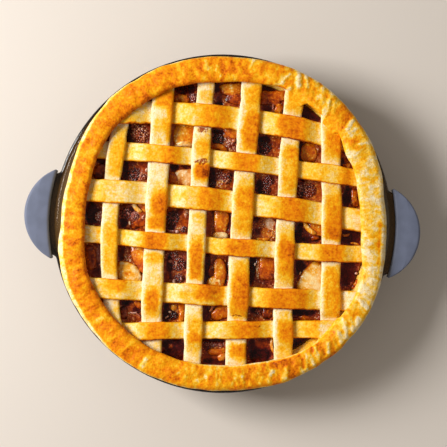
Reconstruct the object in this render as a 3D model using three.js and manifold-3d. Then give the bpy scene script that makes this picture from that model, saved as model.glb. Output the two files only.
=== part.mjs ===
// A fruit pie with a woven lattice top, in the glass dish it was baked in, with two soft grips.
// Units are millimetres and +Z is up. The origin is the centre of the dish's flat underside, and
// the grips lie along X.
import * as THREE from 'three';
import { mergeVertices } from 'three/addons/utils/BufferGeometryUtils.js';
import Module from 'manifold-3d';

const wasm = await Module();
wasm.setup();

// ---------------------------------------------------------------------------------------------
// Driving dimensions
// ---------------------------------------------------------------------------------------------

const CLEARANCE = 0.3; // left between neighbouring pieces

const DISH = {
  height: 42,
  rimRadius: 125,
  mouthRadius: 115, // where the inner wall meets the flat rim
  floorRadius: 94, // where the inner wall meets the floor
  wall: 5,
  rimThickness: 4.5,
  footFillet: 13,
  floorFillet: 9,
  edgeFillet: 2,
  segments: 50,
};

// The glass ears that carry the grips: each is a disc that pokes out past the rim.
const EAR = { centre: 110, radius: 33, root: 117, thickness: 4, drop: 0.3 };

const GRIP = {
  radius: 36, // round outer edge, about the ear's own centre
  innerRadius: 127.5, // hollow inner edge, about the dish's axis
  cornerAngle: 0.05, // how far short of the sharp corner both arcs stop, in radians
  thickness: 9.4,
  bevel: 1.8,
};

const CRUST = {
  thickness: 4,
  floorFillet: 7,
  grooveRadius: 111.6, // the strips end in this groove under the rolled rim
  grooveBottom: 40.6,
  grooveTop: 48,
  top: 52.8,
  segments: 88,
};

// The rolled rim isn't round: mean radius, then [cosine, sine] terms of once, twice and three
// times round, for its outer and inner edge.
const RIM_OUTER = { mean: 122.4, waves: [[1.2, -0.3], [-1.4, -0.4], [-0.7, -0.9]] };
const RIM_INNER = { mean: 105.8, waves: [[1.1, 0.1], [-1.1, -0.8], [-0.5, -0.9]] };
const RIM_FILLETS = { outerFoot: 2.5, outerTop: 6.5, innerTop: 4, nose: 0.8 };

// Finger pinches: deep over two stretches of the rim, shallow elsewhere.
const PINCH = {
  count: 44,
  shallow: 0.25,
  deep: 0.9,
  stretches: [{ at: -0.75, half: 0.6 }, { at: 0.9, half: 0.35 }],
  heave: 0.5, // slow rise and fall of the rim's top
};

const FILLING = { edge: 38, top: 38.8, lumps: 1.3, lumpSize: 9.5, segments: 40 };

const LATTICE = { thickness: 3.2, middle: 44.3, plateauMargin: 1.8, reach: 116 };

// One row a strip: where its middle line crosses the dish's other axis, then the line's lean and
// bow per 100 mm, and its width.
const STRIPS_ALONG_Y = [
  { at: -82.7, lean: -0.9, bow: 9.4, width: 12.5 },
  { at: -49.2, lean: -0.8, bow: 1.6, width: 15.4 },
  { at: -18.4, lean: -0.8, bow: 1.5, width: 13.2 },
  { at: 14.2, lean: 0.1, bow: 1.6, width: 15.4 },
  { at: 46.5, lean: -1.6, bow: 2.5, width: 14.5 },
  { at: 80.4, lean: -5.0, bow: -2.1, width: 14.5 },
];
const STRIPS_ALONG_X = [
  { at: 78.0, lean: -5.8, bow: -8.1, width: 17.0 },
  { at: 46.8, lean: -5.1, bow: -2.8, width: 13.3 },
  { at: 16.8, lean: -5.4, bow: -3.3, width: 17.0 },
  { at: -16.6, lean: -1.7, bow: 1.7, width: 12.8 },
  { at: -52.9, lean: 0.4, bow: 1.2, width: 15.0 },
  { at: -78.3, lean: 6.8, bow: -0.4, width: 13.2 },
];

const FINISH = {
  glass: { color: 0xcfd8d4, roughness: 0.04, metalness: 0 },
  silicone: { color: 0x6c7186, roughness: 0.6, metalness: 0 },
  crust: { color: 0xe9a03a, roughness: 0.55, metalness: 0 },
  strip: { color: 0xf4bc55, roughness: 0.5, metalness: 0 },
  filling: { color: 0x4a160f, roughness: 0.25, metalness: 0 },
};

// ---------------------------------------------------------------------------------------------
// Solids and outlines
// ---------------------------------------------------------------------------------------------

// Shared vertices only, without the slivers that a lathe leaves on its axis.
function closedGeometry(geometry) {
  geometry.deleteAttribute('normal');
  geometry.deleteAttribute('uv');
  const merged = mergeVertices(geometry, 1e-4);
  const corners = merged.index.array;
  const kept = [];
  for (let i = 0; i < corners.length; i += 3) {
    const [a, b, c] = corners.slice(i, i + 3);
    if (a !== b && b !== c && c !== a) kept.push(a, b, c);
  }
  merged.setIndex(kept);
  return merged;
}

function toSolid(geometry) {
  return new wasm.Manifold(new wasm.Mesh({
    numProp: 3,
    vertProperties: new Float32Array(geometry.attributes.position.array),
    triVerts: new Uint32Array(geometry.index.array),
  }));
}

function toGeometry(solid) {
  const { vertProperties, triVerts } = solid.getMesh();
  const geometry = new THREE.BufferGeometry();
  geometry.setAttribute('position', new THREE.BufferAttribute(vertProperties, 3));
  geometry.setIndex(new THREE.BufferAttribute(triVerts, 1));
  return geometry;
}

// Corners are [radius, height, fillet]; a fillet is drawn as a short arc.
function roundedOutline(corners, arcSteps) {
  return corners.flatMap(([radius, height, fillet], i) => {
    const corner = new THREE.Vector2(radius, height);
    if (!fillet) return [corner];
    const before = new THREE.Vector2(...corners[i - 1]).sub(corner).normalize();
    const after = new THREE.Vector2(...corners[i + 1]).sub(corner).normalize();
    const halfAngle = Math.acos(before.dot(after)) / 2;
    const reach = fillet / Math.tan(halfAngle);
    const middle = before.clone().add(after).normalize();
    const centre = corner.clone().addScaledVector(middle, fillet / Math.sin(halfAngle));
    const start = corner.clone().addScaledVector(before, reach).sub(centre).angle();
    const end = corner.clone().addScaledVector(after, reach).sub(centre).angle();
    const sweep = THREE.MathUtils.euclideanModulo(end - start + Math.PI, 2 * Math.PI) - Math.PI;
    return Array.from({ length: arcSteps + 1 }, (_, step) => {
      const angle = start + (sweep * step) / arcSteps;
      return new THREE.Vector2(Math.cos(angle), Math.sin(angle)).multiplyScalar(fillet).add(centre);
    });
  });
}

// A profile that runs up the outside from the axis and back down the inside, turned about Z.
function turned(profile, segments) {
  return closedGeometry(new THREE.LatheGeometry(profile, segments).rotateX(Math.PI / 2));
}

function displace(geometry, move) {
  const position = geometry.attributes.position;
  const point = new THREE.Vector3();
  for (let i = 0; i < position.count; i += 1) {
    point.fromBufferAttribute(position, i);
    move(point);
    position.setXYZ(i, point.x, point.y, point.z);
  }
  return geometry;
}

function extruded(shape, bottom, top, bevel = 0) {
  const geometry = new THREE.ExtrudeGeometry(shape, {
    depth: top - bottom - 2 * bevel,
    bevelEnabled: bevel > 0,
    bevelSize: bevel,
    bevelOffset: -bevel,
    bevelThickness: bevel,
    bevelSegments: 1,
    curveSegments: 12,
  });
  return closedGeometry(geometry.translate(0, 0, bottom + bevel));
}

// ---------------------------------------------------------------------------------------------
// Dish and grips
// ---------------------------------------------------------------------------------------------

const wallSlope = (DISH.mouthRadius - DISH.floorRadius) / (DISH.height - DISH.wall);
const alongWall = Math.hypot(1, wallSlope); // radial width of a layer 1 mm thick on the sloping wall

// Radius of a cone that lies a given distance inside the glass's inner wall, at a height.
function insideWall(height, distance) {
  return DISH.floorRadius + wallSlope * (height - DISH.wall) - distance * alongWall;
}

function earShape(growth) {
  const { centre, radius, root } = EAR;
  const shape = new THREE.Shape();
  const halfAngle = Math.acos((root - centre) / (radius + growth));
  shape.absarc(centre, 0, radius + growth, -halfAngle, halfAngle, false);
  return shape;
}

function gripShape() {
  const { radius, innerRadius, cornerAngle } = GRIP;
  const cornerX = (innerRadius ** 2 - radius ** 2 + EAR.centre ** 2) / (2 * EAR.centre);
  const cornerY = Math.sqrt(innerRadius ** 2 - cornerX ** 2);
  const outer = Math.atan2(cornerY, cornerX - EAR.centre) - cornerAngle * 2;
  const inner = Math.atan2(cornerY, cornerX) - cornerAngle / 2;
  const shape = new THREE.Shape();
  shape.absarc(EAR.centre, 0, radius, -outer, outer, false);
  shape.absarc(0, 0, innerRadius, inner, -inner, true);
  return shape;
}

const earTop = DISH.height - EAR.drop;
const earBottom = earTop - EAR.thickness;

function dishGeometry() {
  const underRim = DISH.height - DISH.rimThickness;
  const profile = roundedOutline([
    [0, 0],
    [insideWall(0, -DISH.wall), 0, DISH.footFillet],
    [insideWall(underRim, -DISH.wall), underRim, DISH.edgeFillet],
    [DISH.rimRadius, underRim, DISH.edgeFillet],
    [DISH.rimRadius, DISH.height, DISH.edgeFillet],
    [DISH.mouthRadius, DISH.height],
    [DISH.floorRadius, DISH.wall, DISH.floorFillet],
    [0, DISH.wall],
  ], 3);
  let dish = toSolid(turned(profile, DISH.segments));
  const ear = extruded(earShape(0), earBottom, earTop);
  for (const turn of [0, Math.PI]) {
    dish = dish.add(toSolid(ear.clone().rotateZ(turn)));
  }
  return toGeometry(dish);
}

// A sleeve that slides over the ear, with a pocket open towards the dish.
function gripGeometry(turn) {
  const bottom = (earTop + earBottom - GRIP.thickness) / 2;
  const sleeve = toSolid(extruded(gripShape(), bottom, bottom + GRIP.thickness, GRIP.bevel));
  const pocket = extruded(earShape(CLEARANCE), earBottom - CLEARANCE, earTop + CLEARANCE);
  return toGeometry(sleeve.subtract(toSolid(pocket))).rotateZ(turn);
}

// ---------------------------------------------------------------------------------------------
// Crust and filling
// ---------------------------------------------------------------------------------------------

function wavyRadius({ mean, waves }, angle) {
  return waves.reduce((sum, [cosine, sine], i) => (
    sum + cosine * Math.cos((i + 1) * angle) + sine * Math.sin((i + 1) * angle)
  ), mean);
}

function pinchDepth(angle) {
  return PINCH.stretches.reduce((depth, { at, half }) => {
    const away = Math.abs(THREE.MathUtils.euclideanModulo(angle - at + Math.PI, 2 * Math.PI) - Math.PI);
    return Math.max(depth, PINCH.deep * (1 - THREE.MathUtils.smoothstep(away, half * 0.6, half)));
  }, PINCH.shallow);
}

// Moves one point of the round rim to its place on the uneven, pinched one.
function shapeRim(point) {
  const radius = Math.hypot(point.x, point.y);
  const restsOnGlass = DISH.mouthRadius + CLEARANCE;
  const onRoll = radius > restsOnGlass || (point.z >= CRUST.grooveTop && radius < CRUST.grooveRadius - 0.5);
  if (!onRoll) return;
  const angle = Math.atan2(point.y, point.x);
  const across = (radius - RIM_INNER.mean) / (RIM_OUTER.mean - RIM_INNER.mean);
  const inner = wavyRadius(RIM_INNER, angle);
  const outer = wavyRadius(RIM_OUTER, angle);
  const pinch = pinchDepth(angle) * Math.cos(PINCH.count * angle);
  const height = THREE.MathUtils.smoothstep(point.z, CRUST.grooveTop - 1, CRUST.top);
  const moved = inner + across * (outer - inner) + pinch * height * Math.sign(across - 0.5);
  point.x *= moved / radius;
  point.y *= moved / radius;
  point.z += height * (pinch + PINCH.heave * Math.sin(3 * angle + 1));
}

function crustGeometry() {
  const underside = DISH.wall + CLEARANCE;
  const overGlass = DISH.height + CLEARANCE;
  const innerFloor = DISH.wall + CRUST.thickness;
  const innerWall = CLEARANCE + CRUST.thickness;
  const profile = roundedOutline([
    [0, underside],
    [insideWall(underside, CLEARANCE), underside, DISH.floorFillet],
    [insideWall(overGlass, CLEARANCE), overGlass],
    [RIM_OUTER.mean, overGlass, RIM_FILLETS.outerFoot],
    [RIM_OUTER.mean, CRUST.top - 1, RIM_FILLETS.outerTop],
    [RIM_INNER.mean, CRUST.top, RIM_FILLETS.innerTop],
    [RIM_INNER.mean, CRUST.grooveTop, RIM_FILLETS.nose],
    [CRUST.grooveRadius, CRUST.grooveTop],
    [CRUST.grooveRadius, CRUST.grooveBottom],
    [insideWall(CRUST.grooveBottom, innerWall), CRUST.grooveBottom],
    [insideWall(innerFloor, innerWall), innerFloor, CRUST.floorFillet],
    [0, innerFloor],
  ], 2);
  return displace(turned(profile, CRUST.segments), shapeRim);
}

function fillingGeometry() {
  const floor = DISH.wall + CRUST.thickness + CLEARANCE;
  const wall = CRUST.thickness + 2 * CLEARANCE;
  const edge = insideWall(FILLING.edge, wall);
  const topRings = [0.8, 0.6, 0.4, 0.2].map((share) => [edge * share, FILLING.top]);
  const profile = roundedOutline([
    [0, floor],
    [insideWall(floor, wall), floor, CRUST.floorFillet],
    [edge, FILLING.edge],
    ...topRings,
    [0, FILLING.top],
  ], 2);
  return displace(turned(profile, FILLING.segments), (point) => {
    if (point.z < FILLING.top - 0.01) return;
    point.z += FILLING.lumps * Math.sin(point.x / FILLING.lumpSize) * Math.cos(point.y / FILLING.lumpSize);
  });
}

// ---------------------------------------------------------------------------------------------
// Woven strips
// ---------------------------------------------------------------------------------------------

// Middle line's sideways place at a distance along the strip.
function sideways(strip, along) {
  const t = along / 100;
  return strip.at + strip.lean * t + strip.bow * t * t;
}

// Distance along each strip at which the two middle lines meet.
function crossing(strip, other) {
  let along = other.at;
  for (let i = 0; i < 8; i += 1) along = sideways(other, sideways(strip, along));
  return along;
}

// Places along a strip with its height there: level where it lies over or under another strip.
function stations(strip, others, isOver) {
  const lift = (LATTICE.thickness + CLEARANCE) / 2;
  const level = others
    .map((other, i) => {
      const middle = crossing(strip, other);
      const half = other.width / 2 + LATTICE.plateauMargin;
      const height = isOver(i) ? lift : -lift;
      return [{ along: middle - half, height }, { along: middle + half, height }];
    })
    .sort((a, b) => a[0].along - b[0].along)
    .flat();
  const between = level.slice(1).map((next, i) => ({
    along: (next.along + level[i].along) / 2,
    height: (next.height + level[i].height) / 2,
  })).filter((_, i) => i % 2 === 1);
  const ends = [{ along: -LATTICE.reach, height: 0 }, { along: LATTICE.reach, height: 0 }];
  return [...level, ...between, ...ends].sort((a, b) => a.along - b.along);
}

// All strips end on this cylinder, just inside the groove under the rim.
const stripEnds = toSolid(turned([
  new THREE.Vector2(0, FILLING.top),
  new THREE.Vector2(CRUST.grooveRadius - CLEARANCE, FILLING.top),
  new THREE.Vector2(CRUST.grooveRadius - CLEARANCE, CRUST.top),
  new THREE.Vector2(0, CRUST.top),
], CRUST.segments));

function stripGeometry(strip, others, isOver, alongX) {
  const places = stations(strip, others, isOver);
  const steps = places.length - 1;
  const bar = new THREE.BoxGeometry(strip.width, 1, LATTICE.thickness, 1, steps, 1);
  displace(bar, (point) => {
    const { along, height } = places[Math.round((point.y + 0.5) * steps)];
    point.set(sideways(strip, along) + point.x, along, LATTICE.middle + height + point.z);
  });
  if (alongX) {
    bar.applyMatrix4(new THREE.Matrix4().set(0, 1, 0, 0, 1, 0, 0, 0, 0, 0, 1, 0, 0, 0, 0, 1));
    const corners = bar.index.array;
    for (let i = 0; i < corners.length; i += 3) [corners[i], corners[i + 1]] = [corners[i + 1], corners[i]];
  }
  return toGeometry(toSolid(closedGeometry(bar)).intersect(stripEnds));
}

// ---------------------------------------------------------------------------------------------
// The pie
// ---------------------------------------------------------------------------------------------

const pie = new THREE.Group();

function addPiece(name, geometry, finish) {
  geometry.computeVertexNormals();
  const mesh = new THREE.Mesh(geometry, new THREE.MeshStandardMaterial(finish));
  mesh.name = name;
  pie.add(mesh);
}

addPiece('dish', dishGeometry(), FINISH.glass);
addPiece('grip_right', gripGeometry(0), FINISH.silicone);
addPiece('grip_left', gripGeometry(Math.PI), FINISH.silicone);
addPiece('crust', crustGeometry(), FINISH.crust);
addPiece('filling', fillingGeometry(), FINISH.filling);

// Plain weave: a strip along X lies over one along Y wherever their numbers add up to an even sum.
STRIPS_ALONG_Y.forEach((strip, column) => {
  const isOver = (row) => (row + column) % 2 === 1;
  addPiece(`strip_along_y_${column + 1}`, stripGeometry(strip, STRIPS_ALONG_X, isOver, false), FINISH.strip);
});
STRIPS_ALONG_X.forEach((strip, row) => {
  const isOver = (column) => (row + column) % 2 === 0;
  addPiece(`strip_along_x_${row + 1}`, stripGeometry(strip, STRIPS_ALONG_Y, isOver, true), FINISH.strip);
});

export default pie;
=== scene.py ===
"""Looks of a lattice fruit pie in its glass dish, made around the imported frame.

Sizes are in millimetres, in the frame's axes, until a mesh is made in metres. Angles round the pie are in
degrees from +X, towards +Y.
"""

import logging
import math
from dataclasses import dataclass, field
from enum import Enum
from itertools import product
from typing import Iterable, Mapping, Sequence

import bpy
import numpy as np
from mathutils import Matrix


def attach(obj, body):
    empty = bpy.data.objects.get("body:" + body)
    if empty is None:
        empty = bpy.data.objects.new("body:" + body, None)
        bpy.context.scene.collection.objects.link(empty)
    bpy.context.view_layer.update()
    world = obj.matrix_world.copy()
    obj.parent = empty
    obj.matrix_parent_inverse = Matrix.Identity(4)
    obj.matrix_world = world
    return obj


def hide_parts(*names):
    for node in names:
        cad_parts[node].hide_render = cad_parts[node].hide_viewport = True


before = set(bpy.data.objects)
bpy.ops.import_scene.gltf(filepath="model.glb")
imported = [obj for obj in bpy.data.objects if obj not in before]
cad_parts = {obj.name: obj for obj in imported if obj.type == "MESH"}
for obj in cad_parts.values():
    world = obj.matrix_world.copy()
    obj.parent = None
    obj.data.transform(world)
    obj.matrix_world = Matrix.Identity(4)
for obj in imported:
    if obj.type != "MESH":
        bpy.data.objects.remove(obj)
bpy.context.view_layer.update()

MM = 0.001
BODY = "root"
FRUIT_CEILING = 40.6  # the slices stay under this height, just below the strips where they dip
log = logging.getLogger("pie")


# ---------------------------------------------------------------------------------------------------------
# Numbers and noise
# ---------------------------------------------------------------------------------------------------------


def smooth(value: np.ndarray | float, low: float, high: float) -> np.ndarray:
    """Eased step from 0 at low to 1 at high; low may be the larger one.

    Args:
        value: Where to read the step.
        low: Value at which the step starts.
        high: Value at which it ends.

    Returns:
        The step's height, from 0 to 1.
    """
    part = np.clip((np.asarray(value, float) - low) / (high - low), 0, 1)
    return part * part * (3 - 2 * part)


def angle_apart(angle: np.ndarray, other: float) -> np.ndarray:
    """Degrees between angles and another one, from 0 to 180."""
    return np.abs((angle - other + 180) % 360 - 180)


@dataclass(frozen=True)
class SoftNoise:
    """Smooth uneven values in space, the same on every run.

    Attributes:
        seed: Picks one pattern out of many.
    """

    seed: int

    def __call__(self, points: np.ndarray, size: float | Sequence[float]) -> np.ndarray:
        """Reads the noise.

        Args:
            points: Places as an array whose last axis is x, y, z.
            size: Spacing of the humps, one number or one for each axis.

        Returns:
            A value from -1 to 1 for each place.
        """
        scaled = points / np.asarray(size, float)
        cell = np.floor(scaled).astype(np.int64)
        part = scaled - cell
        ease = part * part * (3 - 2 * part)
        total = np.zeros(points.shape[:-1])
        for corner in product((0, 1), repeat=3):
            weight = np.where(np.array(corner) == 1, ease, 1 - ease).prod(axis=-1)
            total += weight * self._lattice(cell + np.array(corner))
        return 2 * total - 1

    def _lattice(self, cell: np.ndarray) -> np.ndarray:
        """Random value from 0 to 1 at each whole-numbered point."""
        mixed = cell @ np.array([73856093, 19349663, 83492791]) + self.seed * 40503
        for shift, factor in ((15, 739982445), (13, 695872825)):
            mixed = ((mixed ^ (mixed >> shift)) * factor) & 0x7FFFFFFF
        return ((mixed ^ (mixed >> 16)) & 0xFFFF) / 0xFFFF


NoiseLayer = tuple[int, float, float | tuple[float, float, float]]


def layered_noise(points: np.ndarray, *layers: NoiseLayer) -> np.ndarray:
    """Adds up several noises.

    Args:
        points: Places as an array whose last axis is x, y, z.
        layers: Seed, strength and spacing of the humps of each noise.

    Returns:
        The sum for each place.
    """
    return sum(strength * SoftNoise(seed)(points, size) for seed, strength, size in layers)


@dataclass(frozen=True)
class Pebbles:
    """Close-packed round bumps over a flat face, the same on every run.

    Attributes:
        seed: Picks one pattern out of many.
        size: Distance from bump to bump.
        scatter: How far a bump sits off its place in the grid, in grid steps.
        reach: Radius of a bump, in grid steps.
    """

    seed: int
    size: float
    scatter: float = 0.42
    reach: float = 0.72

    def __call__(self, points: np.ndarray) -> tuple[np.ndarray, np.ndarray]:
        """Reads the bumps.

        Args:
            points: Places whose last axis begins with x and y.

        Returns:
            The bump's height from 0 to 1 and a value from 0 to 1 that differs from bump to bump.
        """
        scaled = points[..., :2] / self.size
        cell = np.floor(scaled)
        nearest = np.full(scaled.shape[:-1], np.inf)
        kind = np.zeros(scaled.shape[:-1])
        spread = SoftNoise(self.seed)
        for side in product((-1, 0, 1), repeat=2):
            home = cell + np.array(side)
            flat = np.concatenate([home, np.zeros(home.shape[:-1] + (1,))], axis=-1)
            east, north, value = (spread(flat + np.array([0, 0, 7 * i]), 1.0) for i in range(3))
            gap = np.hypot(home[..., 0] + 0.5 + self.scatter * east - scaled[..., 0],
                           home[..., 1] + 0.5 + self.scatter * north - scaled[..., 1])
            closer = gap < nearest
            nearest = np.where(closer, gap, nearest)
            kind = np.where(closer, 0.5 + 0.5 * value, kind)
        return np.sqrt(np.maximum(0, 1 - (nearest / self.reach) ** 2)), kind


# ---------------------------------------------------------------------------------------------------------
# Meshes
# ---------------------------------------------------------------------------------------------------------


@dataclass
class Shape:
    """Points, faces and the values painted on the points of one closed mesh.

    Attributes:
        points: Places of the points, one row each.
        faces: Corner numbers of each face.
        values: Named value for each point.
    """

    points: np.ndarray
    faces: list[list[int]]
    values: dict[str, np.ndarray] = field(default_factory=dict)

    @classmethod
    def from_rings(cls, rings: np.ndarray, looped: bool = False, **values: np.ndarray) -> "Shape":
        """Skins rings of points, each ring closed on itself.

        Args:
            rings: Array of rings by points by 3.
            looped: Joins the last ring to the first, where the ends are otherwise closed by fans.
            values: Named values as arrays of rings by points.

        Returns:
            The closed shape with its faces pointing out.
        """
        rows, columns = rings.shape[:2]
        number = np.arange(rows * columns).reshape(rows, columns)
        if looped:
            number = np.vstack([number, number[:1]])
        across = np.roll(number, -1, axis=1)
        quads = np.stack([number[:-1], across[:-1], across[1:], number[1:]], axis=-1).reshape(-1, 4)
        faces = quads.tolist()
        points = rings.reshape(-1, 3)
        flat = {name: value.reshape(-1) for name, value in values.items()}
        if not looped:
            points = np.vstack([points, rings[0].mean(axis=0), rings[-1].mean(axis=0)])
            first, last = rows * columns, rows * columns + 1
            faces += [[first, b, a] for a, b in zip(number[0], across[0])]
            faces += [[last, a, b] for a, b in zip(number[-1], across[-1])]
            flat = {
                name: np.append(flat[name], [value[0].mean(), value[-1].mean()])
                for name, value in values.items()
            }
        shape = cls(points, faces, flat)
        return shape if shape.volume() > 0 else shape.turned_out()

    def volume(self) -> float:
        """Signed volume, negative when the faces point inwards."""
        fans = [(f[0], f[i], f[i + 1]) for f in self.faces for i in range(1, len(f) - 1)]
        a, b, c = (self.points[[fan[i] for fan in fans]] for i in range(3))
        return float((a * np.cross(b, c)).sum() / 6)

    def turned_out(self) -> "Shape":
        """The same shape with every face the other way round."""
        return Shape(self.points, [face[::-1] for face in self.faces], self.values)

    @classmethod
    def joined(cls, shapes: Sequence["Shape"]) -> "Shape":
        """One shape of several that don't share points."""
        faces: list[list[int]] = []
        start = 0
        for shape in shapes:
            faces += [[corner + start for corner in face] for face in shape.faces]
            start += len(shape.points)
        names = shapes[0].values
        values = {name: np.concatenate([shape.values[name] for shape in shapes]) for name in names}
        return cls(np.vstack([shape.points for shape in shapes]), faces, values)

    def build(
        self, name: str, slot: str, material: bpy.types.Material, replaces: Iterable[str] = ()
    ) -> bpy.types.Object:
        """Makes the piece in the scene and lets it ride on the pie.

        Args:
            name: Name of the piece.
            slot: Name of the material slot that its finish belongs to; not used.
            material: Its finish.
            replaces: Solids of the frame that it stands for.

        Returns:
            The new object.
        """
        mesh = bpy.data.meshes.new(name)
        mesh.from_pydata(self.points * MM, [], self.faces)
        mesh.shade_smooth()
        for label, value in self.values.items():
            mesh.attributes.new(label, "FLOAT", "POINT").data.foreach_set("value", value.astype(np.float32))
        mesh.materials.append(material)
        piece = bpy.data.objects.new(name, mesh)
        bpy.context.scene.collection.objects.link(piece)
        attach(piece, BODY)
        for node in replaces:
            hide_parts(node)
        log.info("%s: %d faces", name, len(self.faces))
        return piece


def rounded_outline(corners: Sequence[tuple[float, ...]], arc_steps: int, longest: float = 1e9) -> np.ndarray:
    """Draws an open outline with rounded corners.

    Args:
        corners: Rows of two coordinates and, for a rounded corner, its radius.
        arc_steps: Steps in each rounded corner.
        longest: Straight stretches are cut into steps no longer than this.

    Returns:
        The outline's points, one row each.
    """
    drawn: list[np.ndarray] = []
    for i, corner in enumerate(corners):
        here = np.array(corner[:2], float)
        if len(corner) < 3:
            drawn.append(here)
            continue
        before, after = (np.array(corners[i + side][:2]) - here for side in (-1, 1))
        before, after = before / np.linalg.norm(before), after / np.linalg.norm(after)
        half = math.acos(float(np.clip(before @ after, -1, 1))) / 2
        middle = (before + after) / np.linalg.norm(before + after)
        centre = here + middle * corner[2] / math.sin(half)
        start, end = (here + side * corner[2] / math.tan(half) - centre for side in (before, after))
        from_angle, to_angle = (math.atan2(arm[1], arm[0]) for arm in (start, end))
        sweep = (to_angle - from_angle + math.pi) % (2 * math.pi) - math.pi
        angles = from_angle + sweep * np.linspace(0, 1, arc_steps + 1)
        drawn += list(centre + corner[2] * np.column_stack([np.cos(angles), np.sin(angles)]))
    stretched = [drawn[0]]
    for here, there in zip(drawn, drawn[1:]):
        cuts = max(1, math.ceil(np.linalg.norm(there - here) / longest))
        stretched += [here + (there - here) * cut / cuts for cut in range(1, cuts + 1)]
    return np.array(stretched)


def turned_rings(outline: np.ndarray, angles: np.ndarray) -> np.ndarray:
    """Turns an outline of radius and height about Z into rings of points.

    Args:
        outline: Radius and height of each ring.
        angles: Angle of each point on a ring, in radians.

    Returns:
        Array of rings by points by 3.
    """
    radius, height = outline[:, :1], outline[:, 1:]
    level = np.broadcast_to(height, (len(outline), len(angles)))
    return np.stack([radius * np.cos(angles), radius * np.sin(angles), level], axis=-1)


# ---------------------------------------------------------------------------------------------------------
# Finishes
# ---------------------------------------------------------------------------------------------------------


def linear(code: str) -> tuple[float, float, float, float]:
    """Linear colour of an sRGB hex code such as "#f4bc55"."""
    parts = [int(code[i : i + 2], 16) / 255 for i in (1, 3, 5)]
    red, green, blue = (c / 12.92 if c <= 0.04045 else ((c + 0.055) / 1.055) ** 2.4 for c in parts)
    return red, green, blue, 1.0


def add_node(
    tree: bpy.types.NodeTree,
    kind: str,
    inputs: Mapping[str | int, object] | None = None,
    stops: Sequence[tuple[float, str]] = (),
    **settings: object,
) -> bpy.types.Node:
    """Adds one node to a material.

    Args:
        tree: The material's node tree.
        kind: Blender's name for the node.
        inputs: Value or feeding socket of each input.
        stops: Places and colours of a colour ramp.
        settings: Other properties of the node.

    Returns:
        The new node.
    """
    node = tree.nodes.new(kind)
    for name, value in settings.items():
        setattr(node, name, value)
    for name, value in (inputs or {}).items():
        if isinstance(value, bpy.types.NodeSocket):
            tree.links.new(value, node.inputs[name])
        else:
            node.inputs[name].default_value = value
    for i, (place, code) in enumerate(stops):
        ramp = node.color_ramp
        stop = ramp.elements[i] if i < 2 else ramp.elements.new(place)
        stop.position, stop.color = place, linear(code)
    return node


def blank_material(name: str) -> tuple[bpy.types.Material, bpy.types.NodeTree]:
    """New material with only an output node."""
    material = bpy.data.materials.new(name)
    material.use_nodes = True
    tree = material.node_tree
    tree.nodes.clear()
    return material, tree


@dataclass(frozen=True)
class PressedGlass:
    """Clear soda-lime glass, pressed in a mould and fire polished: smooth, with a faint tint.

    A value on the mesh steers the tint: 0 for the clear wall, about a half for the flat rim and 1 for the
    rim's outer edge and the ears. The darker tints over the rim, its edge and the ears are painted shade:
    dark glass that stands in for the shade under and around the rim.
    """

    # Clear tint for the wall, then the darker tints of the painted shade over the rim and its outer edge
    tints_and_painted_shade: tuple[tuple[float, str], ...] = ((0.0, "#cfd3cf"), (0.5, "#71542a"), (1.0, "#1e1813"))
    ior: float = 1.5
    roughness: float = 0.1

    def material(self) -> bpy.types.Material:
        """Builds the material."""
        material, tree = blank_material("pressed_glass")
        deep = add_node(tree, "ShaderNodeAttribute", attribute_name="deep").outputs["Fac"]
        tint = add_node(tree, "ShaderNodeValToRGB", {"Fac": deep}, stops=self.tints_and_painted_shade).outputs[0]
        surface = add_node(tree, "ShaderNodeBsdfPrincipled", {
            "Base Color": tint,
            "Roughness": self.roughness,
            "IOR": self.ior,
            "Transmission Weight": 1.0,
        })
        add_node(tree, "ShaderNodeOutputMaterial", {"Surface": surface.outputs[0]})
        return material


@dataclass(frozen=True)
class MouldedSilicone:
    """Silicone rubber moulded against a bead-blasted tool: matt, slightly cloudy, soft to the eye."""

    light: str = "#6a7084"
    dark: str = "#63697c"
    cloud_mm: float = 9.0
    grain_mm: float = 0.7  # the tool's grain is finer; it is drawn this coarse so that it shows
    grain_depth_mm: float = 0.03

    def material(self) -> bpy.types.Material:
        """Builds the material."""
        material, tree = blank_material("moulded_silicone")
        place = add_node(tree, "ShaderNodeTexCoord").outputs["Object"]
        cloud = add_node(tree, "ShaderNodeTexNoise", {"Vector": place, "Scale": 1 / (self.cloud_mm * MM)})
        grain = add_node(tree, "ShaderNodeTexNoise", {"Vector": place, "Scale": 1 / (self.grain_mm * MM)})
        colour = add_node(tree, "ShaderNodeValToRGB", {"Fac": cloud.outputs[0]},
                          stops=((0.35, self.dark), (0.65, self.light)))
        relief = add_node(tree, "ShaderNodeBump", {
            "Height": grain.outputs[0], "Strength": 0.4, "Distance": self.grain_depth_mm * MM,
        })
        surface = add_node(tree, "ShaderNodeBsdfPrincipled", {
            "Base Color": colour.outputs[0], "Roughness": 0.58, "IOR": 1.41, "Normal": relief.outputs[0],
        })
        add_node(tree, "ShaderNodeOutputMaterial", {"Surface": surface.outputs[0]})
        return material


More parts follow.
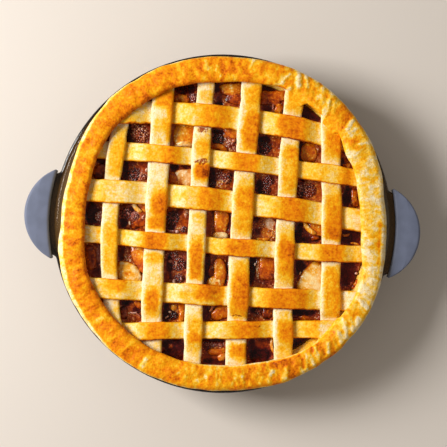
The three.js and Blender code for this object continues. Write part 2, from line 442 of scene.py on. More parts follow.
@dataclass(frozen=True)
class BakedPastry:
    """Shortcrust pastry, rolled, egg glazed and baked.

    The value "baked" on the mesh runs from unglazed pale dough to scorched glaze, and "stained" marks where
    fruit juice has boiled over and dried. On the strips and the rim, "baked" also holds painted light
    and shade.
    """

    name: str
    streak_mm: tuple[float, float] = (2.0, 2.0)  # size along X and along Y of the marks that rolling leaves
    tones: tuple[tuple[float, str], ...] = (
        (0.0, "#fbecca"),
        (0.17, "#f9dfa8"),
        (0.32, "#f8cc5c"),
        (0.43, "#f9be2a"),
        (0.52, "#f6ab10"),
        (0.62, "#ef950a"),
        (0.73, "#e67f06"),
        (0.87, "#c65e04"),
        (1.0, "#853402"),
    )
    # Size in mm of each kind of mottle and how far it moves the tone
    mottles: tuple[tuple[float, float], ...] = ((3.0, 0.34), (1.5, 0.22), (0.8, 0.1))
    streak: float = 0.22
    fleck: float = 0.1
    fleck_mm: float = 1.2
    flake: str = "#f4d690"  # browned edges of the thin flakes that the surface is made of
    juice: str = "#901c08"
    relief_mm: float = 0.3

    def material(self) -> bpy.types.Material:
        """Builds the material."""
        material, tree = blank_material(self.name)
        place = add_node(tree, "ShaderNodeTexCoord").outputs["Object"]
        tone = add_node(tree, "ShaderNodeAttribute", attribute_name="baked").outputs["Fac"]
        stained = add_node(tree, "ShaderNodeAttribute", attribute_name="stained").outputs["Fac"]
        rolled = add_node(tree, "ShaderNodeMapping", {
            "Vector": place, "Scale": tuple(1 / (mm * MM) for mm in (*self.streak_mm, min(self.streak_mm))),
        }).outputs[0]
        marks = [(place, 1 / (size * MM), strength) for size, strength in self.mottles]
        marks.append((rolled, 1.0, self.streak))
        noises = []
        for where, scale, strength in marks:
            noise = add_node(tree, "ShaderNodeTexNoise", {
                "Vector": where, "Scale": scale, "Detail": 1.0,
            }).outputs[0]
            share = add_node(tree, "ShaderNodeMath", {0: noise, 1: strength, 2: -strength / 2},
                             operation="MULTIPLY_ADD").outputs[0]
            tone = add_node(tree, "ShaderNodeMath", {0: tone, 1: share}, operation="ADD").outputs[0]
            noises.append(noise)
        middling, fine, streaks = noises[1:]
        dots =add_node(tree, "ShaderNodeTexNoise", {
            "Vector": place, "Scale": 1 / (self.fleck_mm * MM), "Detail": 0.0,
        }).outputs[0]
        fleck = add_node(tree, "ShaderNodeMapRange", {
            0: dots, 1: 0.7, 2: 0.78, 3: 0.0, 4: self.fleck,
        }).outputs[0]
        tone = add_node(tree, "ShaderNodeMath", {0: tone, 1: fleck}, operation="ADD").outputs[0]
        colour = add_node(tree, "ShaderNodeValToRGB", {"Fac": tone}, stops=self.tones).outputs[0]
        layered = add_node(tree, "ShaderNodeMath", {0: fine, 1: streaks}, operation="ADD").outputs[0]
        flakes = add_node(tree, "ShaderNodeValToRGB", {"Fac": layered},
                          stops=((0.72, self.flake), (1.0, "#ffffff"))).outputs[0]
        colour = add_node(tree, "ShaderNodeMix", {0: 1.0, 6: colour, 7: flakes}, data_type="RGBA",
                          blend_type="MULTIPLY").outputs[2]
        ragged = add_node(tree, "ShaderNodeMath", {0: middling, 1: 1.3, 2: fine},
                          operation="MULTIPLY_ADD").outputs[0]
        ragged = add_node(tree, "ShaderNodeMath", {0: ragged, 1: stained}, operation="MULTIPLY").outputs[0]
        wet = add_node(tree, "ShaderNodeMapRange", {0: ragged, 1: 0.7, 2: 1.0, 3: 0.0, 4: 0.9}).outputs[0]
        colour = add_node(tree, "ShaderNodeMix", {0: wet, 6: colour, 7: linear(self.juice)},
                          data_type="RGBA").outputs[2]
        height = add_node(tree, "ShaderNodeMath", {0: fine, 1: 0.5, 2: middling},
                          operation="MULTIPLY_ADD").outputs[0]
        relief = add_node(tree, "ShaderNodeBump", {
            "Height": height, "Strength": 0.8, "Distance": self.relief_mm * MM,
        })
        surface = add_node(tree, "ShaderNodeBsdfPrincipled", {
            "Base Color": colour,
            "Roughness": 0.45,
            "IOR": 1.45,
            "Specular IOR Level": 0.12,
            "Coat Weight": 0.02,
            "Coat Roughness": 0.2,
            "Normal": relief.outputs[0],
        })
        add_node(tree, "ShaderNodeOutputMaterial", {"Surface": surface.outputs[0]})
        return material


@dataclass(frozen=True)
class StewedFruit:
    """Fruit cooked soft in its own syrup: wet and glossy.

    Three values on the mesh steer its colour. "flesh" runs from soaked and dark to clean and pale, and where it
    is lowest on the syrup it is mostly painted shadow; "amber" runs from berry red to apple amber, and "grainy"
    is how much small seeds and drupelets show.
    """

    name: str
    roughness: float = 0.2
    coat: float = 0.3
    berry_tones: tuple[tuple[float, str], ...] = (
        (0.0, "#200406"), (0.22, "#54100c"), (0.45, "#84281a"), (0.7, "#b06a58"), (1.0, "#ecc8c0"),
    )
    amber_tones: tuple[tuple[float, str], ...] = (
        (0.0, "#2a0802"), (0.22, "#742003"), (0.42, "#bc4e03"),
        (0.60, "#dc7608"), (0.78, "#f2ac2c"), (1.0, "#fadf9e"),
    )
    mottle_mm: float = 2.4
    spread: float = 0.4
    grain_mm: float = 1.25
    grain_depth_mm: float = 0.45

    def material(self) -> bpy.types.Material:
        """Builds the material."""
        material, tree = blank_material(self.name)
        place = add_node(tree, "ShaderNodeTexCoord").outputs["Object"]
        flesh, amber, grainy = (
            add_node(tree, "ShaderNodeAttribute", attribute_name=label).outputs["Fac"]
            for label in ("flesh", "amber", "grainy")
        )
        mottle = add_node(tree, "ShaderNodeTexNoise", {
            "Vector": place, "Scale": 1 / (self.mottle_mm * MM), "Detail": 2.0,
        }).outputs[0]
        grains = add_node(tree, "ShaderNodeTexVoronoi", {"Vector": place, "Scale": 1 / (self.grain_mm * MM)})
        dome = add_node(tree, "ShaderNodeMath", {0: grains.outputs["Distance"], 1: -1.3, 2: 1.0},
                        operation="MULTIPLY_ADD", use_clamp=True).outputs[0]
        kind = add_node(tree, "ShaderNodeSeparateColor", {0: grains.outputs["Color"]}).outputs[0]
        rare = add_node(tree, "ShaderNodeMath", {0: kind, 1: 3.0}, operation="POWER").outputs[0]
        seed = add_node(tree, "ShaderNodeMath", {0: rare, 1: dome}, operation="MULTIPLY").outputs[0]
        seed = add_node(tree, "ShaderNodeMath", {0: seed, 1: 1.3, 2: -0.14},
                        operation="MULTIPLY_ADD").outputs[0]
        tone = add_node(tree, "ShaderNodeMath", {0: seed, 1: grainy, 2: flesh},
                        operation="MULTIPLY_ADD").outputs[0]
        tone = add_node(tree, "ShaderNodeMath", {0: mottle, 1: self.spread, 2: tone},
                        operation="MULTIPLY_ADD").outputs[0]
        tone = add_node(tree, "ShaderNodeMath", {0: tone, 1: self.spread / 2},
                        operation="SUBTRACT").outputs[0]
        red, gold = (
            add_node(tree, "ShaderNodeValToRGB", {"Fac": tone}, stops=stops).outputs[0]
            for stops in (self.berry_tones, self.amber_tones)
        )
        colour = add_node(tree, "ShaderNodeMix", {0: amber, 6: red, 7: gold}, data_type="RGBA").outputs[2]
        bumpy = add_node(tree, "ShaderNodeMath", {0: dome, 1: grainy, 2: mottle},
                         operation="MULTIPLY_ADD").outputs[0]
        relief = add_node(tree, "ShaderNodeBump", {
            "Height": bumpy, "Strength": 0.8, "Distance": self.grain_depth_mm * MM,
        })
        surface = add_node(tree, "ShaderNodeBsdfPrincipled", {
            "Base Color": colour,
            "Roughness": self.roughness,
            "IOR": 1.42,
            "Specular IOR Level": 0.35,
            "Coat Weight": self.coat,
            "Coat Roughness": 0.06,
            "Normal": relief.outputs[0],
        })
        add_node(tree, "ShaderNodeOutputMaterial", {"Surface": surface.outputs[0]})
        return material


# ---------------------------------------------------------------------------------------------------------
# Dish
# ---------------------------------------------------------------------------------------------------------


@dataclass(frozen=True)
class DishSizes:
    """Sizes that the dish shares with what it holds."""

    height: float = 42.0
    rim_radius: float = 125.0
    mouth_radius: float = 115.0
    floor_radius: float = 94.0
    wall: float = 5.0
    rim_thickness: float = 4.5
    ear_centre: float = 110.0
    ear_radius: float = 33.0
    ear_top: float = 41.7
    ear_bottom: float = 37.7

    def inside_wall(self, height: float, distance: float) -> float:
        """Radius of the cone that lies a distance inside the glass's inner wall.

        Args:
            height: Height at which the radius is wanted.
            distance: Distance from the inner wall, measured square to it.

        Returns:
            The radius.
        """
        slope = (self.mouth_radius - self.floor_radius) / (self.height - self.wall)
        return self.floor_radius + slope * (height - self.wall) - distance * math.hypot(1, slope)


@dataclass
class GlassDish:
    """The round glass dish, with a flat rim and an ear at each side that carries a grip."""

    sizes: DishSizes
    angle_steps: int = 720
    arc_steps: int = 7
    foot_fillet: float = 13.0
    floor_fillet: float = 9.0
    edge_fillet: float = 1.8
    mouth_fillet: float = 1.2
    lip_radius: float = 121.2
    lip_step: float = 0.5
    lip_rings: tuple[float, ...] = (1.6, 1.35, 1.2, 1.05, 0.9)  # how far outside the lip the rim has more rings
    foot_radius: float = 82.0
    foot_width: float = 2.0
    foot_recess: float = 0.6
    centre_radius: float = 70.0  # inside this the dish is closed with flat faces
    ear_blend: float = 0.8  # how softly the rim's edge turns into an ear's
    pulled_width: float = 3.0  # width of the rim's edge that is pulled out into the ears

    def build(self) -> None:
        """Makes the dish."""
        sizes = self.sizes
        under, low_rim = sizes.height - sizes.rim_thickness, sizes.height - self.lip_step
        outline = rounded_outline([
            (self.centre_radius, self.foot_recess),
            (self.foot_radius - self.foot_width, self.foot_recess),
            (self.foot_radius, 0.0, 1.0),
            (sizes.inside_wall(0, -sizes.wall), 0.0, self.foot_fillet),
            (sizes.inside_wall(under, -sizes.wall), under, self.edge_fillet),
            (sizes.rim_radius, under, self.edge_fillet),
            (sizes.rim_radius, low_rim, self.edge_fillet),
            *((self.lip_radius + beyond, low_rim) for beyond in self.lip_rings),
            (self.lip_radius + self.lip_step, low_rim, 0.3),
            (self.lip_radius, sizes.height, 0.4),
            (sizes.mouth_radius, sizes.height, self.mouth_fillet),
            (sizes.floor_radius, sizes.wall, self.floor_fillet),
            (self.centre_radius, sizes.wall),
        ], self.arc_steps, longest=6.0)
        angles = np.linspace(0, 2 * np.pi, self.angle_steps, endpoint=False)
        rings = turned_rings(outline, angles)
        self._pull_out_ears(rings, angles)
        radius = np.hypot(rings[..., 0], rings[..., 1])
        # Painted shade: the glass is tinted dark over the rim and darker at its outer edge and the ears, for
        # the shade under the rim, and less so towards +X, where the floor below lies in the pie's own shadow;
        # the wall below them stays clear
        deep = 0.5 * smooth(radius, sizes.mouth_radius - 2, sizes.mouth_radius + 3)
        deep += 0.5 * smooth(radius, sizes.rim_radius - 2.4, sizes.rim_radius - 1.4)
        deep *= smooth(rings[..., 2], 30, 37) * (1 - 0.4 * smooth(rings[..., 0] / radius, 0.8, 0.95))
        Shape.from_rings(rings, deep=deep).build("glass_dish", "glass", PressedGlass().material(), ["dish"])

    def _pull_out_ears(self, rings: np.ndarray, angles: np.ndarray) -> None:
        """Moves the rim's outer edge out to the ears' outline."""
        sizes = self.sizes
        sideways = np.abs(np.cos(angles))
        reach = sizes.ear_radius**2 - (sizes.ear_centre * np.sin(angles)) ** 2
        ear = np.where(reach > 0, sizes.ear_centre * sideways + np.sqrt(np.maximum(reach, 0)), 0)
        growth = np.log(1 + np.exp((ear - sizes.rim_radius) / self.ear_blend)) * self.ear_blend
        radius = np.hypot(rings[..., 0], rings[..., 1])
        start = sizes.rim_radius - self.pulled_width
        share = np.clip((radius - start) / (sizes.rim_radius - start), 0, 1)
        factor = 1 + share * growth / np.maximum(radius, 1)
        rings[..., :2] *= factor[..., None]
        thin = share * smooth(growth, 1.0, 3.0)
        height = rings[..., 2]
        above = height > (sizes.ear_top + sizes.ear_bottom) / 2
        target = np.where(above, np.minimum(height, sizes.ear_top), np.maximum(height, sizes.ear_bottom))
        rings[..., 2] += (target - height) * thin


@dataclass
class Grip:
    """One moulded sleeve over an ear of the dish."""

    name: str
    node: str
    turn: float
    sizes: DishSizes
    radius: float = 36.0
    inner_radius: float = 127.5
    thickness: float = 9.4
    bevel: float = 2.2
    half_length: float = 34.0
    pocket: float = 0.3  # room between the sleeve and the glass in it
    crown: tuple[tuple[float, float], ...] = ((12.0, 0.25), (7.0, 0.2), (4.0, 0.1))  # inset and rise of a face
    short_of_corner: tuple[float, float] = (0.05, 0.012)  # angle that the outer and the inner arc leave out

    def build(self, material: bpy.types.Material) -> None:
        """Makes the sleeve.

        Args:
            material: Its finish.
        """
        middle = (self.sizes.ear_top + self.sizes.ear_bottom) / 2
        outline = self._outline()
        half = self.thickness / 2
        steps = np.linspace(0, math.pi / 2, 7)
        rims = [(self.bevel * (1 - math.sin(a)), half - self.bevel * (1 - math.cos(a))) for a in steps]
        sections = [(inset, half + rise) for inset, rise in self.crown] + rims
        outer = sections + [(inset, -height) for inset, height in sections[::-1]]
        rings = np.array([self._inset_ring(outline, inset, height) for inset, height in outer])
        rings[..., 2] += middle
        sleeve = Shape.from_rings(rings)
        sleeve.points = self._turned(sleeve.points)
        piece = sleeve.build(self.name, "silicone", material, [self.node])
        self._cut_pocket(piece, middle)

    def _outline(self) -> np.ndarray:
        """Outline seen from above: a round outer edge and a hollow inner one."""
        centre = self.sizes.ear_centre
        corner_x = (self.inner_radius**2 - self.radius**2 + centre**2) / (2 * centre)
        corner_y = math.sqrt(self.inner_radius**2 - corner_x**2)
        outer_end = math.atan2(corner_y, corner_x - centre) - self.short_of_corner[0]
        inner_end = math.atan2(corner_y, corner_x) - self.short_of_corner[1]
        outer = np.linspace(-outer_end, outer_end, 90)
        inner = np.linspace(inner_end, -inner_end, 70)
        return np.vstack([
            np.column_stack([centre + self.radius * np.cos(outer), self.radius * np.sin(outer)]),
            np.column_stack([self.inner_radius * np.cos(inner), self.inner_radius * np.sin(inner)]),
        ])

    def _inset_ring(self, outline: np.ndarray, inset: float, height: float) -> np.ndarray:
        """The outline drawn towards its middle line, at a height."""
        thickness_x = self.sizes.ear_centre + self.radius - self.inner_radius
        middle = np.array([self.inner_radius + thickness_x / 2, 0.0])
        span = np.array([thickness_x / 2, self.half_length])
        moved = middle + (outline - middle) * (1 - np.minimum(inset / span, 0.93))
        return np.column_stack([moved, np.full(len(moved), height)])

    def _turned(self, points: np.ndarray) -> np.ndarray:
        """Points turned to this grip's side of the dish."""
        sign = math.cos(self.turn)
        return points * np.array([sign, sign, 1.0])

    def _cut_pocket(self, piece: bpy.types.Object, middle: float) -> None:
        """Cuts the pocket that the glass ear sits in, at a middle height."""
        angles = np.linspace(0, 2 * np.pi, 120, endpoint=False)
        reach = self.sizes.ear_radius + self.pocket
        slot = (self.sizes.ear_top - self.sizes.ear_bottom) / 2 + self.pocket
        disc = np.column_stack([self.sizes.ear_centre + reach * np.cos(angles), reach * np.sin(angles)])
        heights = [np.full(len(disc), middle + side * slot) for side in (-1, 1)]
        cutter_shape = Shape.from_rings(np.array([np.column_stack([disc, height]) for height in heights]))
        mesh = bpy.data.meshes.new("pocket")
        mesh.from_pydata(self._turned(cutter_shape.points) * MM, [], cutter_shape.faces)
        cutter = bpy.data.objects.new("pocket", mesh)
        bpy.context.scene.collection.objects.link(cutter)
        cut = piece.modifiers.new("pocket", "BOOLEAN")
        cut.operation, cut.object, cut.solver = "DIFFERENCE", cutter, "EXACT"
        view = bpy.context.evaluated_depsgraph_get()
        view.update()
        hollow = bpy.data.meshes.new_from_object(piece.evaluated_get(view), depsgraph=view)
        piece.modifiers.clear()
        piece.data = hollow
        bpy.data.objects.remove(cutter)
        hollow.set_sharp_from_angle(angle=math.radians(50))


# ---------------------------------------------------------------------------------------------------------
# Crust
# ---------------------------------------------------------------------------------------------------------


@dataclass(frozen=True)
class Ridges:
    """A stretch of the rim that fingers pinched or that wrinkled in the oven.

    Attributes:
        middle: Angle of the stretch's middle.
        reach: Angle from the middle to where the ridges have died away.
        spacing: Distance from ridge to ridge along the rim.
        depth: Height of the ridges.
        slant: How many spacings a ridge moves on as it crosses the rim.
        paleness: How much paler the ridges are baked than the hollows.
        pinched: True for even pinches, False for uneven wrinkles.
    """

    middle: float
    reach: float
    spacing: float
    depth: float
    slant: float
    paleness: float
    pinched: bool


@dataclass(frozen=True)
class Crease:
    """One fold or dent in the rim.

    Attributes:
        angle: Angle at which it starts.
        radius: Radius at which it starts.
        to_angle: Angle at which it ends.
        to_radius: Radius at which it ends.
        width: Its width.
        rise: Its height, or its depth when negative.
        tone: How much darker it is baked, or paler when negative; a few pale ones are painted highlights.
    """

    angle: float
    radius: float
    to_angle: float
    to_radius: float
    width: float
    rise: float
    tone: float


@dataclass
class Crust:
    """The pastry case: base, side and the rolled rim on the glass."""

    sizes: DishSizes
    finish: BakedPastry = BakedPastry(
        "baked_rim_pastry", mottles=((3.0, 0.34), (1.5, 0.28), (0.8, 0.22)), relief_mm=0.4
    )
    angle_steps: int = 1036
    thickness: float = 4.0
    bite: float = 0.15  # how far the pastry reaches into the glass, so that no air shows between them
    groove_radius: float = 111.6
    groove_bottom: float = 40.6
    lip_height: float = 47.6
    top: float = 52.4
    mean_outer: float = 122.3
    mean_inner: float = 105.8
    rolled_radius: float = 115.0  # radius at which angles are turned into distances along the rim
    rolled_width: float = 16.0  # width of the rim when it is rolled out flat
    # Seed, strength and spacing of the noises that shape the rim, mottle its glaze and fray its creases
    humps: tuple[NoiseLayer, ...] = (
        (5, 0.5, (26, 26, 40)), (6, 0.42, (6.5, 6.5, 7)),
        (7, 0.26, (3.0, 3.0, 3.6)), (12, 0.1, (1.5, 1.5, 1.6)),
    )
    mottles: tuple[NoiseLayer, ...] = (
        (9, 0.12, (8, 8, 7)), (10, 0.17, (3.2, 3.2, 4.6)), (14, 0.13, (1.6, 1.6, 2.4)),
    )
    frays: tuple[NoiseLayer, ...] = ((13, 0.7, (2.6, 2.6, 3)), (15, 0.6, (1.3, 1.3, 1.5)))
    outer_edge: tuple[tuple[float, float], ...] = (
        (1, 120.5), (14, 120.4), (20, 122.8), (30, 124.2), (44, 125.2), (56, 126.0), (66, 125.6), (76, 123.9),
        (88, 122.4), (98, 123.2), (118, 123.4), (136, 123.5), (146, 121.8), (158, 118.8), (172, 118.0),
        (184, 118.6), (189, 120.2), (191, 122.0), (200, 123.2), (210, 124.0), (230, 123.5), (246, 123.5),
        (262, 122.8), (274, 122.3), (284, 123.2), (296, 125.2), (312, 126.2), (324, 126.0), (333, 125.8),
        (341, 124.5), (350, 122.0),
    )
    inner_edge: tuple[tuple[float, float], ...] = (
        (4, 101.2), (13, 101.4), (20, 102.6), (27, 104.6), (31, 103.4), (34, 104.0), (40, 107.6), (49, 107.8),
        (58, 107.8), (66, 108.8), (73, 108.2), (80, 105.4), (94, 103.4), (112, 105.4), (133, 104.6),
        (143, 105.6), (156, 103.2), (165, 101.2), (181, 100.4), (190, 101.4), (204, 105.2), (228, 104.6),
        (243, 105.2), (257, 104.2), (273, 103.6), (286, 104.6), (294, 106.6), (301, 108.8), (306, 110.2),
        (312, 110.4), (322, 110.2), (332, 110.6), (338, 109.8), (344, 108.4), (348, 106.2), (354, 102.8),
    )
    ridges: tuple[Ridges, ...] = (
        Ridges(308, 20, 5.2, 0.55, -1.8, 0.10, True),
        Ridges(57, 13, 5.2, 0.35, 0.9, 0.08, True),
        Ridges(337, 16, 2.8, 0.30, 0.0, 0.12, False),
        Ridges(8, 40, 2.4, 0.34, 0.0, 0.14, False),
        Ridges(272, 32, 2.1, 0.26, 0.0, 0.16, False),
        Ridges(90, 22, 2.4, 0.20, 0.0, 0.14, False),
        Ridges(135, 30, 3.0, 0.12, 0.0, 0.08, False),
        Ridges(176, 34, 2.2, 0.22, 0.0, 0.14, False),
        Ridges(224, 34, 3.0, 0.24, 0.0, 0.14, False),
    )
    # The pale creases near 350, 12 and 31 degrees are painted highlights: glints of light on the glaze, drawn
    # as paler tone
    creases: tuple[Crease, ...] = (
        Crease(286.6, 120.0, 287.8, 116.0, 1.8, 0.30, -0.26),
        Crease(289.6, 120.5, 291.6, 114.0, 2.6, 0.45, -0.34),
        Crease(292.2, 114.5, 292.4, 113.0, 1.6, 0.20, -0.25),
        Crease(294.6, 123.4, 297.0, 115.5, 2.8, 0.50, -0.38),
        Crease(301.6, 124.5, 301.8, 120.0, 2.0, 0.40, -0.34),
        Crease(303.4, 123.5, 306.0, 113.5, 2.2, 0.60, -0.38),
        Crease(306.2, 122.0, 307.4, 116.0, 2.4, 0.50, -0.34),
        Crease(308.6, 121.5, 310.4, 113.5, 2.2, 0.60, -0.34),
        Crease(313.0, 121.5, 314.4, 117.0, 2.6, 0.60, -0.46),
        Crease(316.0, 114.0, 316.2, 113.0, 1.8, 0.20, -0.20),
        Crease(318.6, 123.5, 320.0, 116.0, 3.2, 0.40, -0.34),
        Crease(321.0, 123.0, 324.8, 112.0, 2.2, 0.50, -0.40),
        Crease(324.0, 123.5, 326.0, 118.5, 1.8, 0.40, -0.30),
        Crease(327.0, 123.0, 328.2, 120.5, 2.6, 0.30, -0.30),
        Crease(333.2, 121.5, 334.0, 115.0, 2.6, 0.40, -0.36),
        Crease(338.0, 119.0, 338.4, 112.0, 4.6, 0.30, -0.26),
        Crease(325.5, 118.5, 334.5, 114.0, 3.2, -0.30, 0.18),
        Crease(311.4, 121.5, 312.8, 114.0, 1.8, -0.45, 0.12),
        Crease(302.4, 121.0, 304.4, 113.0, 1.6, -0.40, 0.10),
        Crease(298.0, 123.0, 300.0, 112.0, 3.0, -0.20, 0.08),
        Crease(347.2, 118.0, 346.6, 112.0, 2.2, 0.30, -0.30),
        Crease(349.4, 111.0, 352.0, 108.6, 3.2, 0.20, -0.36),
        Crease(355.6, 110.0, 355.4, 106.5, 2.0, 0.20, -0.28),
        Crease(8.4, 117.0, 8.6, 113.0, 1.8, 0.30, -0.28),
        Crease(12.0, 114.0, 12.8, 107.0, 3.8, 0.20, -0.34),
        Crease(16.4, 120.0, 17.6, 111.0, 2.2, 0.40, -0.36),
        Crease(21.2, 118.0, 22.0, 112.0, 1.6, 0.30, -0.20),
        Crease(31.2, 109.5, 32.2, 105.0, 3.8, 0.30, -0.40),
        Crease(32.4, 122.0, 33.4, 116.0, 2.0, 0.30, -0.26),
        Crease(35.0, 116.0, 37.0, 109.0, 3.0, -0.10, 0.14),
        Crease(38.4, 122.0, 38.8, 117.0, 1.8, 0.30, -0.24),
        Crease(42.2, 124.0, 40.4, 115.0, 2.2, 0.50, -0.38),
        Crease(43.1, 122.5, 41.8, 113.0, 1.2, -0.50, 0.20),
        Crease(52.6, 125.0, 51.6, 111.0, 2.8, 0.50, -0.38),
        Crease(51.4, 111.0, 49.8, 107.8, 2.0, 0.20, -0.30),
        Crease(57.0, 125.0, 55.6, 117.0, 2.6, 0.50, -0.36),
        Crease(59.8, 125.0, 59.4, 122.0, 1.8, 0.30, -0.24),
        Crease(64.0, 125.0, 61.6, 118.0, 2.2, 0.50, -0.42),
        Crease(64.2, 122.5, 62.8, 116.0, 1.0, -0.40, 0.14),
        Crease(67.2, 126.0, 64.4, 115.0, 3.2, 0.50, -0.46),
        Crease(69.0, 120.0, 70.4, 112.0, 2.2, 0.40, -0.36),
        Crease(70.4, 111.5, 72.4, 109.0, 2.0, 0.30, -0.30),
        Crease(66.8, 110.5, 67.6, 109.0, 2.2, 0.20, -0.30),
        Crease(82.2, 122.5, 83.2, 116.5, 1.7, 0.35, -0.34),
        Crease(95.2, 115.0, 95.8, 112.0, 1.6, 0.30, -0.26),
        Crease(99.0, 119.5, 98.8, 113.5, 2.0, 0.30, -0.34),
        Crease(93.4, 109.0, 94.0, 107.0, 1.8, 0.20, -0.30),
        Crease(96.8, 120.5, 97.2, 116.5, 1.6, -0.30, 0.14),
        Crease(173.0, 111.0, 173.4, 109.0, 2.0, 0.20, -0.14),
        Crease(190.6, 118.0, 191.2, 115.0, 1.8, 0.30, -0.24),
        Crease(192.2, 112.0, 193.6, 109.5, 2.2, 0.20, -0.26),
        Crease(189.2, 118.0, 188.6, 111.0, 2.0, -0.30, 0.08),
        Crease(198.5, 118.0, 199.5, 115.0, 2.0, 0.30, -0.20),
        Crease(215.8, 118.0, 216.2, 108.0, 1.6, -0.30, 0.10),
        Crease(220.5, 117.0, 221.5, 111.0, 2.6, 0.30, -0.20),
        Crease(229.5, 118.0, 230.0, 113.0, 1.8, 0.30, -0.20),
        Crease(242.3, 121.0, 242.0, 114.5, 2.2, -0.40, 0.12),
        Crease(244.0, 120.0, 243.6, 114.0, 2.4, 0.30, -0.30),
        Crease(255.0, 117.0, 257.0, 113.0, 2.0, 0.20, -0.20),
        Crease(264.0, 116.0, 267.0, 113.0, 2.4, 0.20, -0.24),
        Crease(271.2, 117.0, 271.0, 109.0, 1.4, 0.20, -0.16),
        Crease(272.6, 118.0, 272.4, 109.0, 1.8, 0.30, -0.22),
        Crease(276.5, 118.0, 277.5, 114.0, 1.6, 0.30, -0.22),
        Crease(278.6, 118.0, 278.2, 113.0, 1.4, 0.30, -0.22),
        Crease(281.2, 117.0, 280.6, 113.0, 1.5, 0.30, -0.20),
        Crease(283.0, 119.0, 283.4, 115.0, 1.4, 0.20, -0.20),
    )
    # Strips' ends that blend into the rim: angle, reach to each side and how far they run in
    joined_strips: tuple[tuple[float, float, float], ...] = (
        (62.5, 3.6, 5.5), (45.5, 3.4, 5.5), (321.8, 2.6, 1.2), (316.5, 3.6, 1.2),
    )

    def build(self) -> None:
        """Makes the crust."""
        sizes = self.sizes
        angles = np.linspace(0, 2 * np.pi, self.angle_steps, endpoint=False)
        floor, on_glass = sizes.wall - self.bite, sizes.height - self.bite
        inner_floor = sizes.wall + self.thickness
        case = rounded_outline([
            (30.0, floor),
            (sizes.inside_wall(floor, -self.bite), floor, 9.0),
            (sizes.inside_wall(on_glass, -self.bite), on_glass),
        ], 6, longest=20)
        outer, inner = self.mean_outer, self.mean_inner
        roll = rounded_outline([
            (sizes.mouth_radius + 0.6, on_glass),
            (outer, on_glass, 2.2),
            (outer - 0.2, self.top - 0.9, 4.2),
            (inner + 6.5, self.top + 0.3, 12.0),
            (inner, self.top - 0.4, 3.2),
            (inner, self.lip_height, 1.1),
            (self.groove_radius - 0.6, self.lip_height),
        ], 7, longest=0.8)
        inside = rounded_outline([
            (self.groove_radius, self.lip_height),
            (self.groove_radius, self.groove_bottom),
            (sizes.inside_wall(self.groove_bottom, self.thickness), self.groove_bottom),
            (sizes.inside_wall(inner_floor, self.thickness), inner_floor, 7.0),
            (30.0, inner_floor),
        ], 5, longest=20)
        rings = turned_rings(np.vstack([case, roll, inside]), angles)
        baked = 0.3 + 0.12 * SoftNoise(11)(rings, 14.0)
        roll_rows = slice(len(case), len(case) + len(roll))
        rings[roll_rows], baked[roll_rows] = self._shaped_roll(rings[roll_rows], np.degrees(angles))
        crust = Shape.from_rings(rings, baked=baked, stained=np.zeros_like(baked))
        crust.build("crust_case", "crust", self.finish.material(), ["crust"])

    @staticmethod
    def _radius_at(edge: Sequence[tuple[float, float]], angle: np.ndarray) -> np.ndarray:
        """Radius of one of the rim's edges at angles in degrees."""
        places, radii = np.array(edge).T
        turns = (-2, -1, 0, 1, 2)
        return np.mean([np.interp(angle + turn, places, radii, period=360) for turn in turns], axis=0)

    def _shaped_roll(self, rings: np.ndarray, angle: np.ndarray) -> tuple[np.ndarray, np.ndarray]:
        """Gives the rim its uneven edges, ridges and colour.

        Args:
            rings: The even, round rim.
            angle: Angle of each point on a ring.

        Returns:
            The shaped rings and how far each point is baked.
        """
        radius, height = np.hypot(rings[..., 0], rings[..., 1]), rings[..., 2]
        across = (self.mean_outer - radius) / (self.mean_outer - self.mean_inner)
        unit = np.stack([np.cos(np.radians(angle)), np.sin(np.radians(angle))], axis=-1)
        middle = np.broadcast_to(unit * self.rolled_radius, rings.shape[:2] + (2,))
        flat = np.concatenate([middle, (across * self.rolled_width)[..., None]], axis=-1)
        outer = self._radius_at(self.outer_edge, angle) + 0.45 * SoftNoise(3)(flat, (8, 8, 60))
        inner = self._radius_at(self.inner_edge, angle) + 0.4 * SoftNoise(4)(flat, (7, 7, 60))
        above = smooth(height, self.lip_height - 2, self.top)
        swell = layered_noise(flat, *self.humps)
        tone = np.zeros(radius.shape)
        moved = outer + (inner - outer) * across
        for part in (self._ridged(across, angle, flat), self._creased(moved, angle, flat)):
            swell += part[0]
            tone += part[1]
        shift = smooth(radius, 111.5, 113) + smooth(height, 47.0, 47.5)
        placed = radius + (moved - radius) * np.clip(shift, 0, 1)
        placed += 0.45 * above * swell * np.sign(0.5 - across) * smooth(np.abs(across - 0.5), 0.2, 0.5)
        joined, run_in = np.zeros(angle.shape), np.zeros(angle.shape)
        for place, reach, run in self.joined_strips:
            window = 1 - smooth(angle_apart(angle, place), reach * 0.7, reach * 1.3)
            joined = np.maximum(joined, window)
            run_in = np.maximum(run_in, run * window)
        inward = smooth(across, 0.55, 1.0)
        joined = joined * inward
        low = 1 - smooth(height, self.lip_height, self.top)
        placed -= run_in * inward * low
        shaped = np.empty_like(rings)
        shaped[..., :2] = unit * placed[..., None]
        shaped[..., 2] = height + above * swell - joined * (0.9 + 1.6 * low)
        return shaped, self._baked(across, angle, flat, tone, joined)

